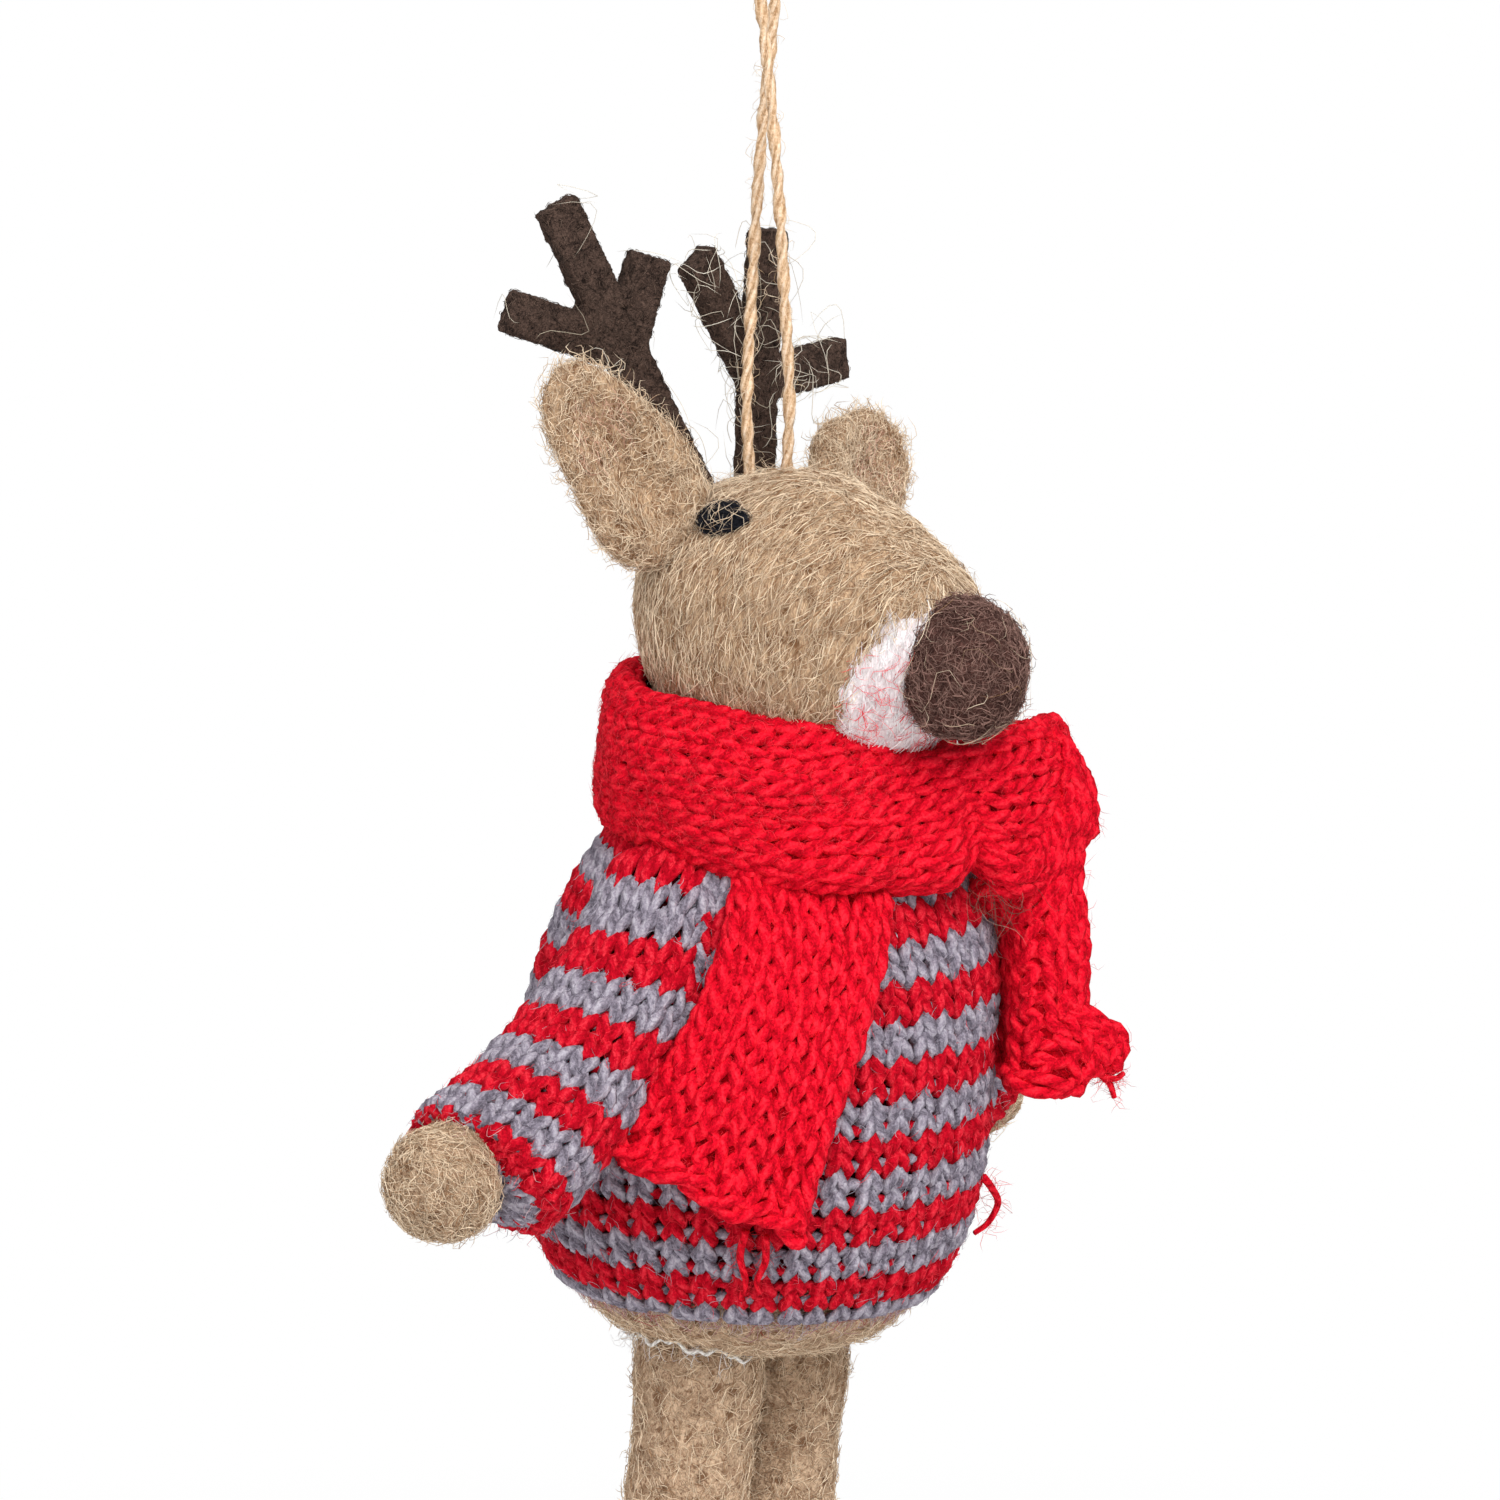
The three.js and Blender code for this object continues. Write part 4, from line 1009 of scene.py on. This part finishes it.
def sleeveSkin(name, across, rise, inset=None):
    turn = 2 * np.pi * across / sleeve["wales"]
    start, step, closer = sleeve["spacing"]
    far = start + step * rise + closer * rise ** 2
    tilt = np.interp(far, sleeve["tiltOver"], sleeve["tilt"])
    along = far - sideSign[name] * tilt * sleeveRadius(far) * np.cos(turn)
    outer = smooth((0.3 - sideSign[name] * np.cos(turn)) / 1.2)
    turnedIn = np.maximum(along - sleeve["fold"][0] * outer - sleeve["fold"][1] * (1 - outer), 0)
    along = along - sleeve["tuck"][0] * turnedIn
    radius = sleeveRadius(along) - (inset or sleeve["inset"]) - sleeve["tuck"][1] * turnedIn
    radius = radius + sleeve["drape"] * (1 - outer) * smooth((along + 6) / 6) * smooth((22 - along) / 14)
    slope = (sleeveRadius(along + 0.1) - sleeveRadius(along - 0.1)) / 0.2
    local = np.stack([radius * np.cos(turn) + sleeveBow(name, along), radius * np.sin(turn), along], -1)
    normal = unit(np.stack([np.cos(turn), np.sin(turn), -slope], -1))
    ways = basis(arm[name]["aim"])
    return local @ ways + shoulderOf(name), normal @ ways


def makeSleeve(name):
    wales, last, aim = sleeve["wales"], sleeve["lastRow"], unit(np.array(arm[name]["aim"]))

    def skin(across, rise):
        return sleeveSkin(name, across, rise)

    def rider(piece):
        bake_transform(piece)

    across, rise = np.meshgrid(np.linspace(0, wales, 54, endpoint=False),
                               np.linspace(sleeve["firstRow"], last + 0.35, 48))
    points, normals = sleeveSkin(name, across, rise, sleeve["backInset"])
    back = makeSkin("sleeve_knit_back_" + name, points, normals, knitBack, sleeve["wall"])
    rows = np.arange(sleeve["firstRow"], last + 0.1)
    isGrey = np.floor((rows + 1.0) / 2) % 2 == 0
    grey = knit("sleeve_grey_courses_" + name, skin, rows[isGrey], wales, sleeveStitch, greyYarn)
    red = knit("sleeve_red_courses_" + name, skin, rows[~isGrey], wales, sleeveStitch, redYarn)
    across, rise = draw.uniform(0, wales, sleeve["fuzz"]), draw.uniform(-1, last + 0.4, sleeve["fuzz"])
    onGrey = np.floor((np.round(rise + 0.5) + 0.5) / 2) % 2 == 0
    fuzz = stripeFuzz("sleeve", "_" + name, *sleeveSkin(name, across, rise, sleeve["fuzzInset"]), onGrey,
                      arm[name]["aim"])
    across, rise = draw.uniform(0, wales, sleeve["curls"]), draw.uniform(last - 2.5, last, sleeve["curls"])
    curls = layHairs("cuff_curls_" + name, *sleeveSkin(name, across, rise, sleeve["fuzzInset"]), arm[name]["aim"],
                     {**yarnFuzz, **sleeve["curlLook"]}, mixedHair)
    dressKnit(back, [grey, red, *fuzz, curls], rider, "sleeve_" + name)


for name in sideSign:
    makeSleeve(name)
print("sleeves made")

# Scarf: one red strip in finer stocking stitch whose wales run along it
scarf = dict(stitch=2.6, row=2.45, yarnInset=0.68, fuzz=18, edge=dict(radius=0.72, rows=((0.62,), (0.3,)), lift=0.35))
scarfStitch = dict(steps=14, sides=6, slant=0.25, pinch=-0.005, uneven=0.09, way=-1, reach=1.5, depth=0.28, yarn=1.45,
                   twist=3.0)
scarfFuzz = {**yarnFuzz, "length": (0.6, 2.8), "lift": (0.02, 0.5), "radius": 0.023, "steps": 4}
wrap = dict(radius=16.2, thickness=5.2, height=16.2, tilt=7, middle=(0, -1.5, -30.9), rows=42, stitch=2.35,
            backInset=0.9, fuzzInset=-0.1, wall=0.5, arc=122, flatRadius=17.4, chin=1.7, slope=(1.3, 1.05),
            over=dict(turn=27, width=30, lift=3.2))


# Even steps along a section line, numbered in stitches
def evenSection(line, stitch):
    far = lengthAlong(line)
    count = int(round(far[-1] / stitch))
    even = pointsAt(line, far, np.linspace(0, far[-1], 40 * count + 1))
    return even, np.linspace(0, count, len(even)), count


def wrapSection(inset):
    turn = np.radians(np.linspace(wrap["arc"], -wrap["arc"], 600))
    reach = np.sign(np.cos(turn)) * np.abs(np.cos(turn)) ** 0.6
    return np.stack([wrap["radius"] + (wrap["thickness"] / 2 - inset) * reach,
                     (wrap["height"] / 2 - inset * 0.6) * np.sin(turn)], 1)


def wrapSkin(across, rise, inset):
    line, places, _ = evenSection(wrapSection(inset), wrap["stitch"])
    tangent = unit(np.gradient(line, axis=0))
    outR, outZ = -tangent[:, 1], tangent[:, 0]
    radius, height = np.interp(across, places, line[:, 0]), np.interp(across, places, line[:, 1])
    wayR, wayZ = np.interp(across, places, outR), np.interp(across, places, outZ)
    turn = 2 * np.pi * rise / wrap["rows"]
    # It bulges low down where it lies over the near end, and draws in under the chin
    over = wrap["over"]
    near = np.abs((turn - math.radians(over["turn"]) + np.pi) % (2 * np.pi) - np.pi)
    low = smooth(-height / 6)
    radius = radius + over["lift"] * np.exp(-(near / math.radians(over["width"])) ** 2) * low
    radius = radius - wrap["chin"] * smooth((height - 2) / 6) * smooth((np.cos(turn - 0.5) + 0.35) / 0.9)
    radius = radius + 0.35 * np.sin(3 * turn + 0.6) + 0.25 * np.sin(7 * turn + height * 0.3)
    height = height + 0.45 * np.sin(2 * turn + 1.2) + 0.3 * np.sin(5 * turn)
    height = height + wrap["slope"][0] * low * np.sin(turn - wrap["slope"][1])
    ring = np.stack([-np.sin(turn), -np.cos(turn), np.zeros_like(turn)], -1)
    axis = np.array([0, 0, 1.0])
    point = ring * radius[..., None] + axis * height[..., None]
    normal = unit(ring * wayR[..., None] + axis * wayZ[..., None])
    lower = math.radians(wrap["tilt"])
    tilt = np.array([[1, 0, 0], [0, math.cos(lower), math.sin(lower)], [0, -math.sin(lower), math.cos(lower)]])
    return point @ tilt + np.array(wrap["middle"]) + crown, normal @ tilt


# Closed section of a strip: a runs across it and b from face to face
def stripSection(half, thick, stitch):
    a = np.linspace(-1, 1, 160)
    edge = np.sqrt(1 - 0.92 * np.abs(a) ** 6)
    loop = np.concatenate([np.stack([a, edge], 1), np.stack([a[::-1], -edge[::-1]], 1), [[-1, edge[0]]]])
    far = lengthAlong(loop * [half, thick])
    count = int(round(far[-1] / stitch))
    return loop, far / far[-1] * count, count


# Strip whose place(share, a, b) gives a point; ways out come from the neighbours
def stripSkin(place, loop, places, count, length, across, rise, thin):
    wound = across % count
    a = np.interp(wound, places, loop[:, 0])
    b = np.interp(wound, places, loop[:, 1]) * thin
    share = rise * scarf["row"] / length
    point = place(share, a, b)
    more = (wound + 0.25) % count
    nextAcross = place(share, np.interp(more, places, loop[:, 0]), np.interp(more, places, loop[:, 1]) * thin)
    nextAlong = place(share + 0.01, a, b)
    return point, unit(np.cross(nextAcross - point, nextAlong - point))


def makeStrip(name, place, strip, node, rider, sign=1):
    length = strip["length"]
    loop, places, count = stripSection(strip["half"], strip["thick"], scarf["stitch"])
    inner = 1 - scarf["yarnInset"] / strip["thick"]

    def skin(across, rise, thin=inner):
        points, normals = stripSkin(place, loop, places, count, length, across, rise, thin)
        return points + crown, normals * sign

    rows = np.arange(strip["begin"], length - 0.75 * scarf["row"], scarf["row"]) / scarf["row"]
    yarn = knit(name + "_courses", skin, rows, count, scarfStitch, scarfYarn)
    across, rise = np.meshgrid(np.linspace(0, count, 72, endpoint=False), np.linspace(rows[0], rows[-1] + 0.3, 40))
    points, normals = skin(across, rise, inner * 0.9)
    index = np.arange(points.shape[0] * 72).reshape(-1, 72)
    quads = ringFaces(index[:-1], index[1:])[:, ::sign]
    ends = [index[0].tolist()[::-sign], index[-1].tolist()[::sign]]
    back = makePiece(name + "_back", points.reshape(-1, 3), quads.tolist() + ends, scarfBack)
    # The bound-off edge is two strands that wind past each other, the second one on the outer face
    bound = scarf["edge"]
    edgeAcross = np.repeat(np.linspace(0, count, count * 10, endpoint=False)[None], 2, 0)
    wind = np.array([[0], [np.pi]]) + 2 * np.pi * edgeAcross
    edgePoints, edgeNormals = skin(edgeAcross, rows[-1] + np.array(bound["rows"]) + 0.12 * np.sin(wind))
    edgePoints = edgePoints + edgeNormals * (bound["lift"] + 0.3 * np.cos(wind))[..., None]
    edge = makeTubes(name + "_bound_off_edge", edgePoints, edgeNormals, bound["radius"], 7, scarfYarn, closed=True,
                     pitch=2.5)
    hairs = int(count * len(rows) * scarf["fuzz"])
    roots, ways = skin(draw.uniform(0, count, hairs), draw.uniform(rows[0], rows[-1] + 0.6, hairs), inner + 0.15)
    fuzz = layHairs(name + "_fuzz", roots, ways, (0.3, 0.3, -1.0), scarfFuzz, redHair)
    dressKnit(back, [yarn, edge, fuzz], rider, node)


def makeWrap():
    count = evenSection(wrapSection(scarf["yarnInset"]), wrap["stitch"])[2]

    # Here the courses lie across the band, so the ring goes round by rows
    def skin(across, rise):
        return wrapSkin(across, rise, scarf["yarnInset"])

    yarn = knit("scarf_wrap_courses", skin, np.arange(wrap["rows"]), count, scarfStitch, scarfYarn, closed=False)
    across, rise = np.meshgrid(np.linspace(0, count, 40), np.linspace(0, wrap["rows"], 120, endpoint=False))
    points, normals = wrapSkin(across, rise, wrap["backInset"])
    back = makeSkin("scarf_wrap_back", points.transpose(1, 0, 2), normals.transpose(1, 0, 2), scarfBack, wrap["wall"])
    hairs = int(count * wrap["rows"] * scarf["fuzz"])
    roots, ways = wrapSkin(draw.uniform(1, count - 1, hairs), draw.uniform(0, wrap["rows"], hairs),
                           wrap["fuzzInset"])
    fuzz = layHairs("scarf_wrap_fuzz", roots, ways, (0.3, 0.3, 1.0), scarfFuzz, redHair)
    dressKnit(back, [yarn, fuzz], "figure", "scarf_wrap")


makeWrap()

# Crossing in front: stands off the band and runs to the far side, where it folds down
crossing = dict(half=6.5, thick=2.5, length=36, begin=0.5, flat=(0.0165, 0.0305), held="folded",
                route=[[-10, -15], [-3, -18.6], [4, -22.6], [11, -24.3], [17.2, -23.2], [21.4, -20.6]],
                tops=[-31, -29.6, -28, -27, -26.4, -27.4], bottoms=[-41.5, -41.9, -41.9, -43.2, -42.6, -41.8],
                pinch=dict(share=0.46, width=0.06, rise=3.2, depth=1.6))


def crossingPlace(share, a, b):
    route = np.array(crossing["route"], float)
    upper = spline(np.column_stack([route, crossing["tops"]]), share)
    lower = spline(np.column_stack([route, crossing["bottoms"]]), share)
    ahead = unit(spline(route, share + 0.01) - spline(route, share - 0.01))
    out = np.stack([ahead[..., 1], -ahead[..., 0], np.zeros_like(a)], -1)
    ends = np.sqrt(np.maximum(1 - 0.9 * np.abs(2 * np.clip(share, 0, 1) - 1) ** 8, 0.1))
    middle = lower + (upper - lower) * ((1 + a) / 2)[..., None]
    # The band is pinched up from below where it passes over itself
    fold = crossing["pinch"]
    pinch = np.exp(-((share - fold["share"] + 0.04 * (1 + a)) / fold["width"]) ** 2)
    middle[..., 2] += fold["rise"] * pinch * ((1 - a) / 2) ** 1.5
    soft = 0.5 * np.sin(9 * share + 2 * a) * (1 - np.abs(a) ** 4)
    soft = soft - fold["depth"] * pinch * smooth((0.9 - a) / 1.5)
    return middle + out * (b * crossing["thick"] * ends + soft)[..., None]


makeStrip("scarf_crossing", crossingPlace, crossing, "scarf_cross", "figure", -1)

# Near end: lies on the jumper and slants round it, its cut end curled outwards
tail = dict(half=8.2, thick=1.5, held="hung")
nearTail = dict(**tail, length=30.5, begin=-4, flat=(0.0165, 0.034), width=16, flare=0.12, ruffle=1.1, turn=(35, 61.5),
                slant=5, start=-41.08, lift=2.6, gap=0.3, curl=2.8, slim=0.07, tuck=1.3, scallop=0.7)


def nearTailPlace(share, a, b):
    low = np.clip(share, 0, 1.1)
    height = nearTail["start"] - nearTail["length"] * share
    first, last = nearTail["turn"]
    slim = 1 - nearTail["slim"] * smooth(4 * a) * (1 - smooth((share - 0.45) / 0.5))
    half = nearTail["width"] / 2 * (1 + nearTail["flare"] * low ** 3)
    turn = np.radians(first + (last - first) * share) + a * slim * half / bodyRadius(height, nearTail["lift"])
    wave = nearTail["ruffle"] * low ** 3 * np.sin(5 * a)
    curl = nearTail["curl"] * smooth((share - 0.8) / 0.22) * (0.6 + 0.4 * np.sin(1.6 * a + 0.5))
    tuck = nearTail["tuck"] * (1 - smooth((share + 0.1) / 0.25))
    off = nearTail["gap"] + nearTail["thick"] * (1 + b) + np.abs(wave) + curl - tuck
    height = height + nearTail["slant"] * a * low ** 2 + nearTail["scallop"] * np.sin(7 * a) * low ** 8
    radius = bodyRadius(height, nearTail["lift"]) + off
    return lean(np.stack([-radius * np.sin(turn), -radius * np.cos(turn), height], -1))


def nearTailRide(piece):
    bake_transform(piece)


makeStrip("scarf_near_end", nearTailPlace, nearTail, "scarf_tail_right", nearTailRide)

# Far end: comes over the crossing's end, hangs from it and folds lengthwise, its left panel turned to the jumper
farTail = dict(**tail, length=25, begin=-14.5, flat=(0.0165, 0.0405), start=-40.45, over=10.5, roll=2.6, flare=5.0,
               ridge=0.3, rounding=0.8, waist=1.4, halves=(4.4, 8.3), widen=0.8, ruffle=1.6, scallop=1.1, inset=4.5,
               dip=6.2, ridges=((17.8, -26.4), (14.2, -25.6)), panels=((0, -22), (180, 62)))


def farTailPlace(share, a, b):
    low = np.clip(share, 0, 1.1)
    hung = smooth((share + 0.05) / 0.4)
    narrow, wide = farTail["halves"]
    half = narrow + (wide - narrow) * hung + farTail["widen"] * low ** 3
    off = (a - farTail["ridge"]) * half
    soft = np.hypot(off, farTail["rounding"])
    # Both panels leave the ridge at their own angle, and the ridge is rounded off
    right, left = (np.radians(angles[0] + (angles[1] - angles[0]) * hung) for angles in farTail["panels"])
    x = (np.cos(right) * (soft + off) + np.cos(left) * (soft - off)) / 2
    y = (np.sin(right) * (soft + off) + np.sin(left) * (soft - off)) / 2
    facing = right + (left - np.pi - right) * (1 - np.tanh(off / farTail["rounding"])) / 2
    thick = b * farTail["thick"] + farTail["ruffle"] * low ** 3 * np.sin(5 * a + 0.4)
    # Above the hinge the strip climbs in front of the crossing and rolls back over its top
    climb = np.maximum(-share * farTail["length"], 0)
    over = np.maximum(climb - farTail["over"], 0) / farTail["roll"]
    inward = (farTail["roll"] - thick) * (1 - np.cos(over)) - thick
    inward = inward + farTail["inset"] * smooth(climb / 9) * smooth((0.1 - a) / 0.7)
    rise = np.where(over > 0, farTail["over"] + (farTail["roll"] + thick) * np.sin(over), climb)
    rise = rise - farTail["dip"] * smooth(climb / 12) * smooth((a + 0.3) / 1.5)
    swing = farTail["flare"] * smooth((share - 0.62) / 0.22) * smooth(a / 0.9)
    swing = swing * (1 - 0.6 * smooth((share - 0.86) / 0.16))
    ridgeX, ridgeY = (top + (bottom - top) * hung for top, bottom in zip(*farTail["ridges"]))
    # Below the fold it draws in against the jumper
    waist = farTail["waist"] * smooth((share + 0.22) / 0.18) * (1 - 0.35 * smooth((share - 0.05) / 0.3))
    x = ridgeX + x - np.sin(facing) * inward + 0.75 * swing - 0.64 * waist
    y = ridgeY + y + np.cos(facing) * inward - 0.5 * swing + 0.77 * waist
    z = farTail["start"] - farTail["length"] * np.maximum(share, 0) + rise
    z = z + farTail["scallop"] * np.sin(8 * a + 1) * low ** 6 + 0.2 * swing
    return np.stack([x, y, z + 0 * x], -1)


def farTailRide(piece):
    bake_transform(piece)


makeStrip("scarf_far_end", farTailPlace, farTail, "scarf_tail_left", farTailRide, -1)
print("scarf made")

# Loose yarn ends: lines on the jumper as turn, height and lift, or as points on the far end
looseEnds = dict(
    near_end_strand_a=[(51, -74.5, 2.2), (52, -77.6, 1.3), (50.5, -80.2, 1.3), (51.5, -82.6, 0.8)],
    near_end_strand_b=[(46.5, -75, 2.2), (46, -78, 1.3), (47.6, -80.2, 1.2), (47, -81.8, 0.9)],
    belly_strand=[(-30, -73.2, 0.3), (-35, -74.6, 1.2), (-40, -76.4, 2.3), (-41, -78.6, 2.0), (-38, -79.8, 0.9)],
    far_end_strand_a=[(19.5, -27.2, -62.4), (21.4, -28.2, -63.8), (22.8, -28.6, -64.2), (24, -28.7, -63.8)],
    far_end_strand_b=[(20.8, -28, -63.4), (22, -28.4, -64.6), (22.6, -28.6, -66.2)],
    cuff_strand=[(38, -3, -66), (39, -4.6, -68.6), (41.5, -4.4, -69.6), (43.4, -3, -68.6)])
looseLook = dict(radius=0.42, steps=40, fuzz=60,
                 riders=dict(near=nearTailRide, far=farTailRide, belly="figure", cuff="left_arm"))


def makeLooseEnds():
    for name, points in looseEnds.items():
        points = np.array(points, float)
        where = name.split("_")[0]
        if where in ("near", "belly"):
            skin, ways = bodySkin(points[:, 1], np.radians(points[:, 0]), nearTail["lift"])
            points = skin + unit(ways) * points[:, 2:]
        line = spline(points, np.linspace(0, 1, looseLook["steps"])) + crown
        out = np.broadcast_to(unit(np.array([-0.6, -0.8, 0.1])), line.shape)
        radius = looseLook["radius"] * np.linspace(1.1, 0.7, looseLook["steps"])
        strand = makeTubes("loose_" + name, line[None], out[None], radius[None], 7, scarfYarn, pitch=2.2)
        spots = draw.integers(2, looseLook["steps"], looseLook["fuzz"])
        ways = unit(draw.normal(0, 1, (looseLook["fuzz"], 3)))
        fuzz = layHairs("loose_fuzz_" + name, line[spots] + ways * 0.3, ways, np.gradient(line, axis=0)[spots],
                        scarfFuzz, redHair)
        dress([strand, fuzz], looseLook["riders"][where])


# Brown hairs caught under the crossing, set dark in tone so that they also give painted shade in the gap under it
caught = dict(place=(8.8, -22, -100.6), scatter=1.2, count=60,
              look=dict(length=(3, 8), bow=0.35, steps=8, spread=0.8, tone=0.3))


def makeCaughtHairs():
    roots = np.array(caught["place"]) + draw.normal(0, caught["scatter"], (caught["count"], 3))
    ways = unit(np.array([-0.1, -0.9, 0.2]) + draw.normal(0, 0.3, roots.shape))
    hairs = layHairs("brown_hairs_under_scarf", roots, ways, (0.7, -0.3, -0.4),
                     {**woolLooks["loose"], **caught["look"]}, noseHair)
    finish(hairs, "figure", "brown_felt")


makeLooseEnds()
makeCaughtHairs()
print("loose ends made")

# White studio: the floor keeps the shadow near the object and turns to plain white further out
studio = dict(floor=-0.262, radius=3.0, shade=(0.16, 0.45), floorColour="#EDEDED", world=0.46,
              aim=(0, 0, -0.11))


# One for what is seen directly or in a reflection, nought for light that falls on things
def seenRays(tree):
    path = addNode(tree, "LightPath").node.outputs
    seen = addNode(tree, "Math", {0: path["Is Camera Ray"], 1: path["Is Glossy Ray"]}, operation="MAXIMUM")
    return addNode(tree, "Math", {0: seen, 1: path["Is Transmission Ray"]}, operation="MAXIMUM")


def makeStudio():
    bpy.ops.object.select_all(action="DESELECT")
    bpy.ops.mesh.primitive_circle_add(vertices=96, radius=studio["radius"], fill_type="NGON",
                                      location=(0, 0, studio["floor"]))
    floor = bpy.context.object
    floor.name = "studio_floor"
    bpy.ops.object.transform_apply(location=True)
    paper, tree = blankMaterial("whitePaperSweep", 0.9, 0.1, 0.0, studio["floorColour"])
    shader = tree.nodes["Principled BSDF"]
    shader.inputs["Base Color"].default_value = linear(studio["floorColour"])
    where = addNode(tree, "TexCoord", out="Object")
    flat = addNode(tree, "VectorMath", {0: where, 1: (1, 1, 0)}, operation="MULTIPLY")
    far = addNode(tree, "VectorMath", {0: flat}, "Value", operation="LENGTH")
    fade = addNode(tree, "MapRange", {"Value": far, "From Min": studio["shade"][0], "From Max": studio["shade"][1]},
                   interpolation_type="SMOOTHSTEP")
    share = addNode(tree, "Math", {0: seenRays(tree), 1: fade}, operation="MULTIPLY")
    white = addNode(tree, "Emission", {"Color": (1, 1, 1, 1), "Strength": 1.0})
    mixed = addNode(tree, "MixShader", {0: share, 1: shader.outputs[0], 2: white})
    tree.links.new(mixed, tree.nodes["Material Output"].inputs["Surface"])
    floor.data.materials.append(paper)

    world = bpy.data.worlds.new("softStudioAir")
    bpy.context.scene.world = world
    world.use_nodes = True
    tree = world.node_tree
    strength = addNode(tree, "MapRange", {"Value": seenRays(tree), "To Min": studio["world"], "To Max": 1.0})
    sky = tree.nodes["Background"]
    sky.inputs["Color"].default_value = (1, 1, 1, 1)
    tree.links.new(strength, sky.inputs["Strength"])


# Softboxes that face the figure: place and size in metres, power in watts
softboxes = dict(key=dict(place=(-0.35, -0.75, 0.75), size=0.6, power=11.4),
                 fill=dict(place=(-0.9, -0.35, 0.3), size=0.7, power=2.9),
                 rim=dict(place=(0.5, 0.5, 0.8), size=0.7, power=3.0))


def makeLights():
    for name, box in softboxes.items():
        lamp = bpy.data.lights.new(name + "Softbox", "AREA")
        lamp.shape = "SQUARE"
        lamp.size = box["size"]
        lamp.energy = box["power"]
        light = bpy.data.objects.new(name + "Softbox", lamp)
        bpy.context.scene.collection.objects.link(light)
        away = np.array(box["place"]) - studio["aim"]
        yaw = math.atan2(away[0], -away[1])
        light.location = box["place"]
        light.rotation_euler = (math.atan2(math.hypot(away[0], away[1]), away[2]), 0, yaw)


makeStudio()
makeLights()
bpy.context.scene.view_settings.view_transform = "Standard"
print("studio ready")

bpy.context.view_layer.update()
